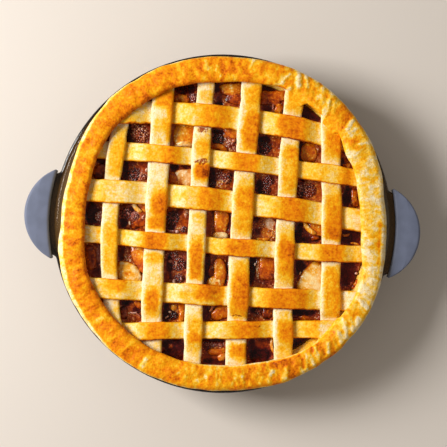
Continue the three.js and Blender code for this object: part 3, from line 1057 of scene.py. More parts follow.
    def _ridged(
        self, across: np.ndarray, angle: np.ndarray, flat: np.ndarray
    ) -> tuple[np.ndarray, np.ndarray]:
        """Height and change of tone that the ridges add."""
        swell, tone = np.zeros(across.shape), np.zeros(across.shape)
        profile = np.sin(np.pi * np.clip(across, 0.04, 0.96)) ** 0.6
        for i, ridges in enumerate(self.ridges):
            wander = 0.55 * SoftNoise(20 + i)(flat, (9, 9, 12))
            along = np.radians(angle) * self.rolled_radius / ridges.spacing
            phase = along + ridges.slant * (across - 0.5) + wander
            crest = (0.5 + 0.5 * np.cos(2 * np.pi * phase)) ** 1.3
            if not ridges.pinched:
                wrinkles = SoftNoise(60 + i)(flat, (ridges.spacing, ridges.spacing, 6))
                crest = np.clip(0.5 + 0.8 * wrinkles, 0, 1)
            window = 1 - smooth(angle_apart(angle, ridges.middle), ridges.reach * 0.5, ridges.reach)
            strength = window * np.clip(0.7 + 1.0 * SoftNoise(40 + i)(flat, (7, 7, 6)), 0, 1.5)
            swell += (crest - 0.45) * ridges.depth * strength * profile
            tone -= (crest - 0.35) * ridges.paleness * strength
        return swell, tone

    def _creased(
        self, radius: np.ndarray, angle: np.ndarray, flat: np.ndarray
    ) -> tuple[np.ndarray, np.ndarray]:
        """Height and change of tone that the single creases add."""
        swell, tone = np.zeros(radius.shape), np.zeros(radius.shape)
        ragged = layered_noise(flat, *self.frays)
        for crease in self.creases:
            beside = np.radians((angle - crease.angle + 180) % 360 - 180) * self.rolled_radius
            below = radius - crease.radius
            run = math.radians(crease.to_angle - crease.angle) * self.rolled_radius
            drop = crease.to_radius - crease.radius
            part = np.clip((beside * run + below * drop) / (run**2 + drop**2), 0, 1)
            away = np.maximum(np.hypot(beside - part * run, below - part * drop) + ragged, 0)
            shape = np.exp(-((away / (0.62 * crease.width)) ** 2))
            swell += crease.rise * shape
            tone += crease.tone * shape
        return swell, tone

    def _baked(
        self, across: np.ndarray, angle: np.ndarray, flat: np.ndarray, tone: np.ndarray, joined: np.ndarray
    ) -> np.ndarray:
        """How far each point of the rim is baked, with painted shade on the left of its inner slope.

        Args:
            across: From 0 at the outer edge to 1 at the inner one.
            angle: Angle of each point on a ring.
            flat: Places on the rim rolled out flat.
            tone: Change of tone from ridges and creases.
            joined: How far a strip's end runs into the rim.

        Returns:
            The values, from pale dough to scorched glaze.
        """
        def stretch(middle: float, full: float, none: float) -> np.ndarray:
            """1 within an angle from the middle of a stretch of the rim, fading to 0."""
            return 1 - smooth(angle_apart(angle, middle), full, none)

        mottle = layered_noise(flat, *self.mottles) * (1 - 0.3 * stretch(176, 40, 80))
        band = 0.07 + 0.13 * stretch(176, 20, 60) + 0.07 * stretch(212, 10, 30) + 0.18 * stretch(2, 12, 26)
        edge = smooth(across + 0.03 * SoftNoise(8)(flat, (5, 5, 3)), band, band - 0.09)
        streak = np.exp(-(((across - 0.29) / 0.07) ** 2)) * stretch(356, 5, 10)
        baked = 0.63 - 0.25 * stretch(358, 24, 50) - 0.08 * stretch(343, 8, 20) + mottle + tone + 0.3 * streak
        baked += 0.05 * stretch(312, 18, 40) + 0.03 * stretch(180, 40, 70)
        # Painted shade: browner towards the inner edge on the left, where the inner slope faces away from the
        # light
        baked += 0.12 * smooth(across, 0.8, 1.0) * stretch(165, 50, 90)
        baked -= (0.44 - 0.28 * stretch(2, 16, 34)) * edge
        baked -= 0.36 * smooth(across + 0.02 * mottle, 0.93, 0.98) * stretch(292, 26, 36)
        baked += (0.46 - baked) * 0.6 * joined
        return np.clip(baked, 0.13, 0.84)


# ---------------------------------------------------------------------------------------------------------
# Lattice
# ---------------------------------------------------------------------------------------------------------


class Run(Enum):
    """Which way a strip runs."""

    ALONG_Y = 1
    ALONG_X = 0


@dataclass(frozen=True)
class Strip:
    """One strip of pastry.

    Attributes:
        run: Which way it runs.
        number: Its number among the strips that run that way.
        at: Sideways place of its middle line where it crosses the other axis.
        lean: How far the middle line has moved sideways after 100 mm.
        bow: How far it has bent away sideways after 100 mm, on top of its lean.
        width: Its width.
    """

    run: Run
    number: int
    at: float
    lean: float
    bow: float
    width: float

    def middle(self, along: np.ndarray | float) -> np.ndarray | float:
        """Sideways place of the middle line at a distance along the strip."""
        part = along / 100
        return self.at + self.lean * part + self.bow * part * part

    def lies_over(self, other: "Strip") -> bool:
        """True if this strip passes over one that runs the other way."""
        even = (self.number + other.number) % 2 == 0
        return even == (self.run is Run.ALONG_X)


@dataclass(frozen=True)
class Browning:
    """A patch of glaze that browned on a strip.

    Attributes:
        along: Place of its middle along the strip.
        across: Place of its middle across the strip, from -1 to 1.
        length: Its length along the strip.
        width: Its width, as a share of the strip's.
        tone: How far it is baked.
    """

    along: float
    across: float
    length: float
    width: float
    tone: float


BROWNED: dict[str, tuple[Browning, ...]] = {
    "y_1": (Browning(46, 0.0, 32, 1.0, 0.46), Browning(-23, 0.0, 40, 1.0, 0.46)),
    "y_2": (
        Browning(89, 0.0, 12, 0.9, 0.66), Browning(70, -0.1, 9, 0.7, 0.42), Browning(75, 0.9, 32, 0.25, 0.55),
        Browning(12, 0.3, 19, 0.75, 0.74), Browning(-3, 0.0, 12, 0.85, 0.66),
        Browning(-27, -0.1, 10, 0.8, 0.50), Browning(-60, -0.1, 19, 0.6, 0.72),
    ),
    "y_3": (
        Browning(93, 0.0, 7, 0.9, 0.36), Browning(55, 0.0, 12, 0.9, 0.52), Browning(37, 0.2, 11, 0.8, 0.80),
        Browning(4, 0.2, 9, 0.7, 0.36), Browning(-27, 0.0, 29, 0.62, 0.72), Browning(-75, 0.0, 10, 0.8, 0.46),
        Browning(-85, 0.1, 8, 0.7, 0.66), Browning(-92, -0.1, 7, 0.7, 0.40),
    ),
    "y_4": (
        Browning(95, 0.3, 13, 0.8, 0.50), Browning(69, 0.35, 31, 0.7, 0.68),
        Browning(19, 0.1, 22, 0.95, 0.64), Browning(2, 0.1, 16, 0.9, 0.52), Browning(-49, 0.2, 40, 0.8, 0.70),
        Browning(-92, 0.1, 13, 0.8, 0.58),
    ),
    "y_5": (
        Browning(92, 0.0, 15, 0.9, 0.46), Browning(54, 0.0, 10, 0.8, 0.62), Browning(39, 0.1, 32, 0.8, 0.48),
        Browning(-22, 0.1, 34, 0.85, 0.62), Browning(-16, 0.3, 12, 0.7, 0.74),
        Browning(-77, 0.3, 18, 0.7, 0.62), Browning(-90, -0.1, 9, 0.7, 0.42),
    ),
    "y_6": (
        Browning(64, 0.1, 21, 0.85, 0.63), Browning(13, 0.1, 29, 0.9, 0.60),
        Browning(-1, 0.1, 16, 0.85, 0.70), Browning(-47, 0.1, 40, 0.85, 0.56),
    ),
    "x_1": (
        Browning(-18, 0.0, 10, 1.0, 0.42), Browning(-8, 0.0, 19, 0.9, 0.62), Browning(48, 0.0, 21, 1.0, 0.72),
    ),
    "x_2": (
        Browning(-53, 0.0, 10, 1.0, 0.44), Browning(-41, 0.0, 15, 1.0, 0.62),
        Browning(15, 0.0, 19, 1.0, 0.66), Browning(66, 0.0, 18, 0.9, 0.42), Browning(89, 0.0, 12, 1.0, 0.60),
    ),
    "x_3": (
        Browning(-92, -0.5, 10, 0.8, 0.40), Browning(-70, 0.0, 29, 0.8, 0.26),
        Browning(-9, 0.0, 18, 1.0, 0.66), Browning(52, 0.0, 22, 1.0, 0.68), Browning(70, 0.0, 10, 0.9, 0.32),
    ),
    "x_4": (
        Browning(-48, 0.0, 18, 1.0, 0.73), Browning(-32, 0.0, 12, 0.9, 0.42),
        Browning(-5, 0.0, 12, 0.9, 0.40), Browning(15, 0.0, 22, 1.0, 0.72), Browning(37, 0.0, 15, 0.9, 0.28),
        Browning(62, 0.0, 10, 0.9, 0.34), Browning(82, 0.0, 18, 1.0, 0.70), Browning(98, 0.0, 10, 0.9, 0.38),
    ),
    "x_5": (
        Browning(-75, 0.6, 16, 0.7, 0.60), Browning(-5, 0.4, 22, 0.8, 0.74), Browning(4, 0.0, 10, 1.0, 0.60),
        Browning(51, 0.0, 34, 1.0, 0.70), Browning(71, 0.0, 10, 0.9, 0.40), Browning(93, 0.0, 18, 1.0, 0.10),
    ),
    "x_6": (
        Browning(-63, 0.7, 12, 0.8, 0.30), Browning(-42, 0.0, 19, 1.0, 0.64),
        Browning(-28, 0.0, 9, 0.9, 0.34), Browning(23, 0.0, 23, 1.0, 0.68), Browning(39, 0.0, 10, 0.9, 0.40),
        Browning(71, 0.3, 15, 0.8, 0.50), Browning(80, -0.1, 9, 0.6, 0.16), Browning(89, -0.2, 10, 0.8, 0.60),
    ),
}


@dataclass
class Lattice:
    """The woven top."""

    thickness: float = 3.2
    middle_height: float = 44.3
    end_radius: float = 111.2
    step: float = 0.75
    top_points: int = 25
    under_points: int = 9
    along_y: tuple[tuple[float, float, float, float], ...] = (
        (-82.7, -0.9, 9.4, 12.5),
        (-49.2, -0.8, 1.6, 15.4),
        (-18.4, -0.8, 1.5, 13.2),
        (14.2, 0.1, 1.6, 15.4),
        (46.5, -1.6, 2.5, 14.5),
        (80.4, -5.0, -2.1, 14.5),
    )
    along_x: tuple[tuple[float, float, float, float], ...] = (
        (78.0, -5.8, -8.1, 17.0),
        (46.8, -5.1, -2.8, 13.3),
        (16.8, -5.4, -3.3, 17.0),
        (-16.6, -1.7, 1.7, 12.8),
        (-52.9, 0.4, 1.2, 15.0),
        (-78.3, 6.8, -0.4, 13.2),
    )
    juice_spots: tuple[tuple[float, float, float, float, float], ...] = (
        (-18.1, 67.9, 3.2, 2.8, 0.86),
        (-16.8, 44.6, 4.6, 2.8, 0.88),
        (-22.0, 44.1, 1.5, 1.3, 0.8),
        (-15.1, 40.8, 1.4, 1.8, 0.7),
        (-15.4, 36.0, 1.8, 2.2, 0.6),
        (15.8, -66.8, 5.6, 1.2, 0.8),
        (13.2, -9.8, 5.4, 0.7, 0.5),
        (-48.5, 39.6, 1.4, 1.4, 0.6),
        (31.9, -73.4, 1.6, 1.6, 0.7),
        (-40.2, 42.3, 1.5, 1.5, 0.8),
        (-68.2, 19.4, 1.1, 1.1, 0.6),
        (-74.2, 21.2, 1.0, 1.0, 0.6),
        (-61.0, 20.6, 1.0, 1.0, 0.6),
        (46.6, 23.0, 0.8, 4.5, 0.5),
        (59.0, 12.0, 2.4, 3.4, 0.5),
    )

    def build(self) -> None:
        """Makes every strip."""
        upright = [Strip(Run.ALONG_Y, i + 1, *row) for i, row in enumerate(self.along_y)]
        level = [Strip(Run.ALONG_X, i + 1, *row) for i, row in enumerate(self.along_x)]
        for strips, others, letter, streak_mm in (
            (upright, level, "y", (1.1, 9.0)), (level, upright, "x", (9.0, 1.1)),
        ):
            material = BakedPastry(f"baked_strip_along_{letter}", streak_mm).material()
            for strip in strips:
                node = f"strip_along_{letter}_{strip.number}"
                shape = self._strip(strip, others, BROWNED[f"{letter}_{strip.number}"])
                shape.build(f"pastry_{node}", "lattice", material, [node])

    def _section(self) -> tuple[np.ndarray, np.ndarray]:
        """Sideways and upward place of each point round a strip's section, both from -1 to 1."""
        over = np.sin(np.linspace(-np.pi / 2, np.pi / 2, self.top_points))
        under = np.sin(np.linspace(np.pi / 2, -np.pi / 2, self.under_points))[1:-1]
        sideways = np.concatenate([over, under])
        upward = np.concatenate([np.sqrt(1 - np.abs(over) ** 11), -np.sqrt(1 - np.abs(under) ** 11)])
        return sideways, upward

    def _strip(self, strip: Strip, others: Sequence[Strip], browned: Sequence[Browning]) -> Shape:
        """One strip as a shape.

        Args:
            strip: The strip.
            others: The strips that cross it.
            browned: Its browned patches.

        Returns:
            The woven strip, with its colour values.
        """
        sideways, upward = self._section()
        offset = sideways * strip.width / 2
        low, high = (self._end(strip, offset, side) for side in (-1, 1))
        rows = int((high - low).max() / self.step)
        share = np.linspace(0, 1, rows)[:, None]
        along = low + (high - low) * share
        seed = strip.number * 7 + strip.run.value * 100
        aside = np.broadcast_to(offset, along.shape)
        spot = np.stack([along, aside, np.full(along.shape, seed * 13.0)], axis=-1)
        edge = spot * np.array([1, 0, 1]) + np.sign(offset)[:, None] * np.array([0, 40.0, 0])
        height, over, near, beyond = self._weave(strip, others, along, strip.middle(along) + offset)
        ragged = 0.36 * SoftNoise(seed)(edge, 13) + 0.22 * SoftNoise(seed + 1)(edge, 4.0) + 0.3 * over - 0.12
        across = strip.middle(along) + offset + np.sign(offset) * np.abs(sideways) ** 3 * ragged
        lump = 0.16 * SoftNoise(seed + 2)(spot, (7, 5, 9)) + 0.08 * SoftNoise(seed + 3)(spot, 2.4)
        dome = np.where(upward > 0.3, 0.15 * (1 - sideways**2), 0)
        up = height + upward * (self.thickness / 2 + lump) + dome - 0.35 * np.abs(sideways) ** 3 * (1 - over)
        baked = self._baked(seed, spot, sideways, upward, near, beyond, strip.run, browned)
        points = np.stack([across, along, up] if strip.run is Run.ALONG_Y else [along, across, up], axis=-1)
        stained = np.zeros_like(baked)
        splash = 0.6 * SoftNoise(90)(points, 1.6)
        for x, y, wide, high, depth in self.juice_spots:
            away = np.hypot((points[..., 0] - x) / wide, (points[..., 1] - y) / high) + splash
            stained = np.maximum(stained, depth * smooth(away, 2.1, 0.3) * (upward > 0))
        return Shape.from_rings(points, baked=baked, stained=stained)

    def _end(self, strip: Strip, offset: np.ndarray, side: int) -> np.ndarray:
        """Distance along the strip at which it meets the groove under the rim, for each sideways offset."""
        along = np.full(offset.shape, side * 60.0)
        for _ in range(40):
            across = strip.middle(along) + offset
            target = side * np.sqrt(np.maximum(self.end_radius**2 - across**2, 25.0))
            along += (target - along) * 0.5
        return along

    def _weave(
        self, strip: Strip, others: Sequence[Strip], along: np.ndarray, across: np.ndarray
    ) -> tuple[np.ndarray, np.ndarray, np.ndarray, np.ndarray]:
        """Height of the strip's middle and what is near it.

        Args:
            strip: The strip.
            others: The strips that cross it.
            along: Distance along the strip of each point.
            across: Sideways place of each point.

        Returns:
            The height, how far the point lies over a strip from 0 to 1, the distance to the nearest strip
            that it dips under, and whether the point is beyond that strip's middle.
        """
        lift = (self.thickness + 0.1) / 2
        height = np.zeros(along.shape)
        over = np.zeros(along.shape)
        near = np.full(along.shape, 99.0)
        beyond = np.zeros(along.shape, bool)
        last_edge, last_lift = None, 0.0
        for other in sorted(others, key=lambda each: each.at):
            centre = other.middle(across)
            this_lift = lift if strip.lies_over(other) else -lift
            start = centre - other.width / 2
            before = start - 10.0 if last_edge is None else last_edge
            height += (this_lift - last_lift) * smooth((along - before) / (start - before), 0, 1)
            last_edge, last_lift = centre + other.width / 2, this_lift
            gap = np.abs(along - centre) - other.width / 2
            if this_lift > 0:
                over = np.maximum(over, smooth(gap, 6.5, -2.0))
            else:
                beyond = np.where(gap < near, along > centre, beyond)
                near = np.minimum(near, gap)
        height -= last_lift * smooth(along - last_edge, 0, 10)
        return self.middle_height + height, over, near, beyond

    def _baked(
        self, seed: int, spot: np.ndarray, sideways: np.ndarray, upward: np.ndarray,
        near: np.ndarray, beyond: np.ndarray, run: Run, browned: Sequence[Browning],
    ) -> np.ndarray:
        """How far each point of a strip is baked, with painted light and shade on its sides and painted
        shadow beside the strips that cross it.

        Args:
            seed: Number of the strip's own noise.
            spot: Places on the strip laid out flat.
            sideways: From -1 to 1 across the strip.
            upward: From -1 under the strip to 1 on top.
            near: Distance to the nearest strip that it dips under.
            beyond: Whether the point is beyond that strip's middle.
            run: Which way it runs.
            browned: Its browned patches.

        Returns:
            The values, from pale dough to scorched glaze.
        """
        blot, fine = SoftNoise(seed + 4)(spot, (8, 6, 9)), SoftNoise(seed + 5)(spot, (3.0, 2.6, 4))
        speck = SoftNoise(seed + 6)(spot, (1.6, 1.5, 2))
        upright = run is Run.ALONG_Y
        baked = (0.21 if upright else 0.3) + 0.15 * blot + 0.06 * fine
        for patch in browned:
            away = np.abs(spot[..., 0] - patch.along) / (patch.length / 2)
            aside = np.abs(sideways - patch.across) / (patch.width + 0.12)
            reach = (away**3 + aside**4) ** (1 / 3.5) + 0.26 * blot + 0.28 * fine + 0.16 * speck
            baked += (patch.tone - baked) * smooth(reach, 1.45, 0.55)
        baked += 0.1 * fine * smooth(baked, 0.2, 0.5) + 0.08 * speck
        # Near a strip that this one dips under, the tone goes pale; on a strip along X it goes to a deeper
        # yellow on the side of the crossing strip away from the light instead: painted shadow of the crossing
        # strip
        pale_dip_and_painted_shadow = np.where(beyond & (not upright), 0.42, 0.12)
        baked = pale_dip_and_painted_shadow + (baked - pale_dip_and_painted_shadow) * smooth(near + 1.6 * blot + 0.8 * fine, 0.2, 3.6)
        if upright:
            # Painted light and shade: browner towards the right side, which faces away from the light, and much
            # paler over the left side, which faces it; the pale left edge is partly also the unglazed cut edge
            baked += 0.08 * sideways * smooth(near, 0, 3)
            baked *= 1 - 0.62 * smooth(-sideways + 0.16 * fine, 0.36, 0.96)
        else:
            # Painted shade: browner along the lower edge, which faces away from the light, and a little along
            # the upper edge
            baked += 0.46 * smooth(-sideways + 0.06 * fine, 0.82, 0.99) + 0.14 * smooth(sideways, 0.86, 0.99)
        return np.clip(np.where(upward < -0.1, 0.12, baked), 0, 1)


# ---------------------------------------------------------------------------------------------------------
# Filling
# ---------------------------------------------------------------------------------------------------------


def ball(stacks: int, slices: int) -> np.ndarray:
    """Rings of points on a ball of radius 1, from low to high."""
    rise = np.linspace(-np.pi / 2, np.pi / 2, stacks + 2)[1:-1, None]
    turn = np.linspace(0, 2 * np.pi, slices, endpoint=False)
    level = np.broadcast_to(np.sin(rise), (stacks, slices))
    return np.stack([np.cos(rise) * np.cos(turn), np.cos(rise) * np.sin(turn), level], axis=-1)


@dataclass(frozen=True)
class Pulp:
    """A dark or soft patch in the syrup: place, half length and half width, and its three values.

    Most of the darkest, with flesh near 0, are painted shadow that the strips and the rim cast on the fruit.
    """

    x: float
    y: float
    along_x: float
    along_y: float
    flesh: float
    amber: float
    grainy: float

    def weight(self, flat: np.ndarray) -> np.ndarray:
        """1 in its middle, fading to 0 at its ragged edge."""
        away = np.hypot((flat[..., 0] - self.x) / self.along_x, (flat[..., 1] - self.y) / self.along_y)
        return smooth(away + 0.25 * SoftNoise(70)(flat, 3.5), 1.3, 0.8)


@dataclass(frozen=True)
class AppleSlice:
    """One cooked slice: place, length, width, turn in degrees, height above the syrup, paleness and amber."""

    x: float
    y: float
    length: float
    width: float
    turn: float
    lift: float
    flesh: float
    amber: float

    def shape(self, number: int, level: float) -> Shape:
        """Makes the slice.

        Args:
            number: Number of the slice, which picks its noise and the way it bends.
            level: Height of the syrup.

        Returns:
            The slice with its values.
        """
        rows, columns = 34, 26
        part = np.linspace(-1, 1, rows + 2)[1:-1, None]
        bluntness = min(max(0.5 + 1.1 * self.length / self.width, 2.0), 3.6)
        taper = (1 - np.abs(part) ** bluntness) ** 0.5
        turn = np.linspace(0, 2 * np.pi, columns, endpoint=False)
        side = np.sign(np.cos(turn)) * np.abs(np.cos(turn)) ** 0.8
        rise = np.sign(np.sin(turn)) * np.abs(np.sin(turn)) ** 0.5
        depth = min(self.lift + 0.8, 0.8 * self.width + 0.6)
        bend = 0.1 * self.length * (1 if number % 2 else -1)
        along = np.broadcast_to(part * self.length / 2, (rows, columns))
        across = side * taper * self.width * 0.53 + bend * (part**2 - 0.4)
        local = np.stack([along, across, rise * taper * depth * (0.85 + 0.15 * side)], axis=-1)
        grain = layered_noise(local, (300 + number, 0.6, 5.0), (340 + number, 0.2, 1.8))
        local *= (1 + grain / max(self.width / 2, 2.0))[..., None]
        angle = math.radians(self.turn)
        x = self.x + local[..., 0] * math.cos(angle) - local[..., 1] * math.sin(angle)
        y = self.y + local[..., 0] * math.sin(angle) + local[..., 1] * math.cos(angle)
        z = min(level + self.lift, FRUIT_CEILING) - depth + local[..., 2]
        edge = np.maximum(np.abs(side) * np.ones_like(z), np.abs(part))
        flesh = self.flesh + layered_noise(local, (380 + number, 0.2, 5.0), (420 + number, 0.14, 2.0))
        soaked = smooth(z + 0.5 * SoftNoise(460)(local, 3.0), level + 0.6 * self.lift, level)
        flesh = np.clip((flesh - 0.1 * smooth(edge, 0.85, 1.0)) * (1 - 0.6 * soaked), 0, 1)
        flat = {"amber": np.full(z.shape, self.amber), "grainy": np.full(z.shape, 0.3)}
        return Shape.from_rings(np.stack([x, y, z], axis=-1), flesh=flesh, **flat)


@dataclass(frozen=True)
class DarkBerry:
    """One cooked berry made of drupelets: place, radius, height above the syrup, paleness and amber."""

    x: float
    y: float
    radius: float
    lift: float
    flesh: float
    amber: float

    def shapes(self, number: int, level: float) -> list[Shape]:
        """Makes the drupelets.

        Args:
            number: Number of the berry, which picks its turn.
            level: Height of the syrup.

        Returns:
            One shape for each drupelet.
        """
        unit = ball(4, 8)
        drupelet = 0.55 + 0.07 * self.radius
        count = int(2.2 * (self.radius / drupelet) ** 2)
        made = []
        for i in range(count):
            high = 1 - 1.25 * (i + 0.5) / count
            turn = i * math.pi * (3 - math.sqrt(5)) + number
            flat = math.sqrt(max(0.0, 1 - high * high)) * (self.radius - drupelet)
            size = drupelet * (1 + 0.16 * math.sin(7.3 * i + number))
            centre = np.array([
                self.x + flat * math.cos(turn),
                self.y + flat * math.sin(turn),
                level + self.lift - 0.5 * self.radius * (1 - high) - drupelet,
            ])
            tone = self.flesh + 0.22 * math.sin(5.1 * i + 2 * number)
            values = {"flesh": min(max(tone, 0.0), 1.0), "amber": self.amber, "grainy": 0.25}
            flat_values = {label: np.full(unit.shape[:2], value) for label, value in values.items()}
            made.append(Shape.from_rings(centre + unit * size, **flat_values))
        return made


@dataclass
class Filling:
    """Dark syrup and soft fruit in the crust."""

    sizes: DishSizes
    crust: Crust
    angle_steps: int = 660
    ring_step: float = 0.8
    top: float = 37.3
    edge_height: float = 36.3
    grain_radius: tuple[float, float] = (0.35, 0.65)
    # Most of the darkest patches, with flesh near 0, just right of a strip along Y or just below a strip along
    # X or the rim, are painted shadow of the strips and the rim
    pulps_and_painted_shadows: tuple[Pulp, ...] = (
        # Openings outside the first strip along Y
        Pulp(-92, 42, 4, 2.5, 0.10, 0.0, 0.1), Pulp(-97, 2, 5, 8, 0.03, 0.0, 0.2),
        Pulp(-90.5, 8.5, 1.4, 1.2, 0.50, 0.8, 0.4), Pulp(-90, -27, 1.8, 5.5, 0.62, 0.0, 0.3),
        Pulp(-91, -40, 4, 4, 0.20, 0.4, 0.1),
        # Beyond the first strip along X
        Pulp(-33, 98, 8, 4, 0.00, 0.0, 0.1), Pulp(-10, 101, 2.5, 4.5, 0.06, 0.2, 0.1),
        Pulp(-7.5, 92, 1.8, 3, 0.36, 0.0, 0.1), Pulp(-7.5, 88.5, 3, 1.6, 0.04, 0.0, 0.1),
        Pulp(6, 90, 3, 2.5, 0.28, 0.3, 0.5), Pulp(28, 102, 8, 2, 0.02, 0.2, 0.1),
        Pulp(28, 87, 4, 2.5, 0.14, 0.5, 0.1), Pulp(61, 86, 9, 6, 0.10, 0.0, 0.1),
        # Between the first two strips along X
        Pulp(-73, 62, 2, 9, 0.03, 0.0, 0.1), Pulp(-68, 57, 3, 2.5, 0.16, 0.0, 0.4),
        Pulp(-38.5, 63, 3.4, 9, 0.54, 0.85, 0.3), Pulp(-7, 67.5, 4, 2.2, 0.00, 0.0, 0.1),
        Pulp(1.5, 61, 4, 4, 0.55, 0.3, 1.0), Pulp(4.5, 57, 4, 3, 0.30, 0.4, 1.0),
        Pulp(27, 63, 4.5, 4, 0.00, 0.0, 0.1), Pulp(35, 60, 2.5, 6, 0.36, 0.7, 0.5),
        Pulp(55, 57, 2.4, 7, 0.08, 0.2, 0.1), Pulp(62.5, 52.5, 4, 1.8, 0.50, 1.0, 0.4),
        Pulp(85.5, 50, 1.6, 3.5, 0.04, 0.1, 0.1),
        # Between the second and the third
        Pulp(-73.5, 35, 2.4, 9, 0.05, 0.0, 0.3), Pulp(-60.5, 32, 3, 3.5, 0.50, 0.3, 1.0),
        Pulp(-60, 40.5, 3.5, 2.5, 0.26, 0.5, 0.1), Pulp(-69.5, 40.5, 2.4, 2.4, 0.40, 0.0, 0.6),
        Pulp(-38, 39.5, 3, 2.8, 0.00, 0.0, 0.2), Pulp(-29, 40.5, 3.4, 1.8, 0.12, 0.2, 0.3),
        Pulp(-29.5, 29, 3.2, 3, 0.16, 0.6, 0.3), Pulp(-9.5, 34, 2.8, 7, 0.04, 0.0, 0.1),
        Pulp(-3.5, 36, 3, 3, 0.36, 0.2, 1.0), Pulp(-3, 29, 2.8, 2.4, 0.52, 0.9, 1.0),
        Pulp(5, 36, 3, 2.5, 0.14, 0.0, 0.2), Pulp(6, 31, 2, 4, 0.32, 0.8, 0.2),
        Pulp(26, 28, 3, 6, 0.04, 0.0, 0.3), Pulp(25, 37, 2.6, 2, 0.38, 1.0, 0.1),
        Pulp(35.5, 28, 2.2, 6, 0.40, 0.6, 0.6), Pulp(57, 30, 3, 7, 0.26, 0.0, 1.0),
        Pulp(60.5, 32.5, 2, 2.6, 0.62, 0.6, 0.8), Pulp(70, 29, 3, 8, 0.40, 0.8, 0.4),
        Pulp(91, 25, 3.2, 8, 0.02, 0.1, 0.1),
        # Between the third and the fourth
        Pulp(-67, 6.3, 3.2, 2.2, 0.00, 0.0, 0.2), Pulp(-73, -3, 2.8, 3.5, 0.04, 0.0, 0.1),
        Pulp(-58.8, 0, 1.8, 3.5, 0.56, 0.3, 1.0), Pulp(-38, -3, 3, 4, 0.06, 0.0, 0.2),
        Pulp(-32, 7, 3, 3, 0.18, 0.4, 0.1), Pulp(-28.3, 1, 2, 6, 0.30, 0.9, 0.1),
        Pulp(-27, 7, 1.4, 4, 0.60, 0.3, 1.0), Pulp(-9.6, 0, 2, 10, 0.32, 0.85, 0.1),
        Pulp(5, 3, 1.4, 8, 0.08, 0.3, 0.1), Pulp(25, 4.5, 2.6, 1.8, 0.08, 0.0, 0.1),
        Pulp(29, 1.5, 3.2, 3.4, 0.46, 0.7, 0.8), Pulp(26.5, -4.5, 4, 3, 0.26, 0.1, 0.5),
        Pulp(31.5, -4.5, 3, 3.4, 0.46, 0.9, 0.6), Pulp(37, -5.5, 3.4, 4, 0.60, 0.75, 0.8),
        Pulp(35.2, 2.2, 4.2, 3.6, 0.84, 0.4, 0.4),
        Pulp(57, -3, 3.2, 8, 0.00, 0.0, 0.1), Pulp(62, -4, 2.6, 4.5, 0.20, 0.4, 0.3),
        Pulp(65, -8, 7, 1.8, 0.05, 0.1, 0.1), Pulp(95, -4, 8, 7, 0.13, 0.2, 0.1),
        # Between the fourth and the fifth
        Pulp(-73, -26, 2.4, 6, 0.12, 0.4, 0.2), Pulp(-68.3, -28.5, 2.6, 6, 0.62, 0.6, 1.0),
        Pulp(-37, -33, 2.4, 9, 0.03, 0.0, 0.3), Pulp(-36.5, -30, 1.6, 1.2, 0.70, 0.1, 0.2),
        Pulp(-38.5, -41, 1.8, 4.5, 0.26, 0.7, 0.1), Pulp(-30, -38.6, 2.6, 1.3, 0.60, 0.6, 0.8),
        Pulp(-9, -33, 2.4, 11, 0.04, 0.1, 0.1), Pulp(-5.5, -32.5, 2, 2.6, 0.50, 0.5, 1.0),
        Pulp(-5.8, -37, 2, 2.8, 0.30, 0.9, 0.1), Pulp(5, -35, 1.3, 9, 0.08, 0.3, 0.1),
        Pulp(24, -32, 2.8, 11, 0.00, 0.0, 0.1), Pulp(28.4, -33, 1.5, 6, 0.60, 0.7, 1.0),
        Pulp(33, -41, 7, 1.8, 0.34, 0.2, 0.6), Pulp(59, -28, 3.6, 6, 0.03, 0.0, 0.1),
        Pulp(95, -31, 6, 9, 0.12, 0.1, 0.1),
        # Between the fifth and the sixth
        Pulp(-67, -62.5, 4.5, 2.4, 0.03, 0.0, 0.2), Pulp(-62.5, -64.5, 2.2, 2, 0.46, 0.7, 0.5),
        Pulp(-59.5, -67.5, 3, 2.5, 0.06, 0.1, 0.1), Pulp(-37.5, -67, 2.2, 8, 0.03, 0.0, 0.2),
        Pulp(-8.3, -66, 2.4, 6, 0.18, 0.3, 0.1), Pulp(27, -62, 3, 2.4, 0.08, 0.1, 0.1),
        Pulp(30.5, -66.4, 3.4, 1.3, 0.70, 0.2, 0.8), Pulp(64, -62, 10, 2.6, 0.00, 0.0, 0.1),
        # On the near side of the sixth
        Pulp(-30, -94, 9, 9, 0.07, 0.0, 0.2), Pulp(-33, -92.5, 1.8, 1.5, 0.44, 0.5, 0.3),
        Pulp(-1, -86, 9, 2.2, 0.02, 0.0, 0.1), Pulp(-1, -89.4, 8, 1.4, 0.50, 0.0, 1.0),
        Pulp(-3, -98, 5, 2.4, 0.26, 0.9, 0.1), Pulp(0, -102, 9, 2, 0.08, 0.1, 0.1),
        Pulp(33, -94, 9, 6, 0.00, 0.0, 0.1), Pulp(34, -87, 5.5, 2.8, 0.24, 0.6, 0.1),
        Pulp(27, -88, 2.4, 4, 0.12, 0.0, 0.1), Pulp(63, -86, 8, 6, 0.00, 0.0, 0.1),
    )
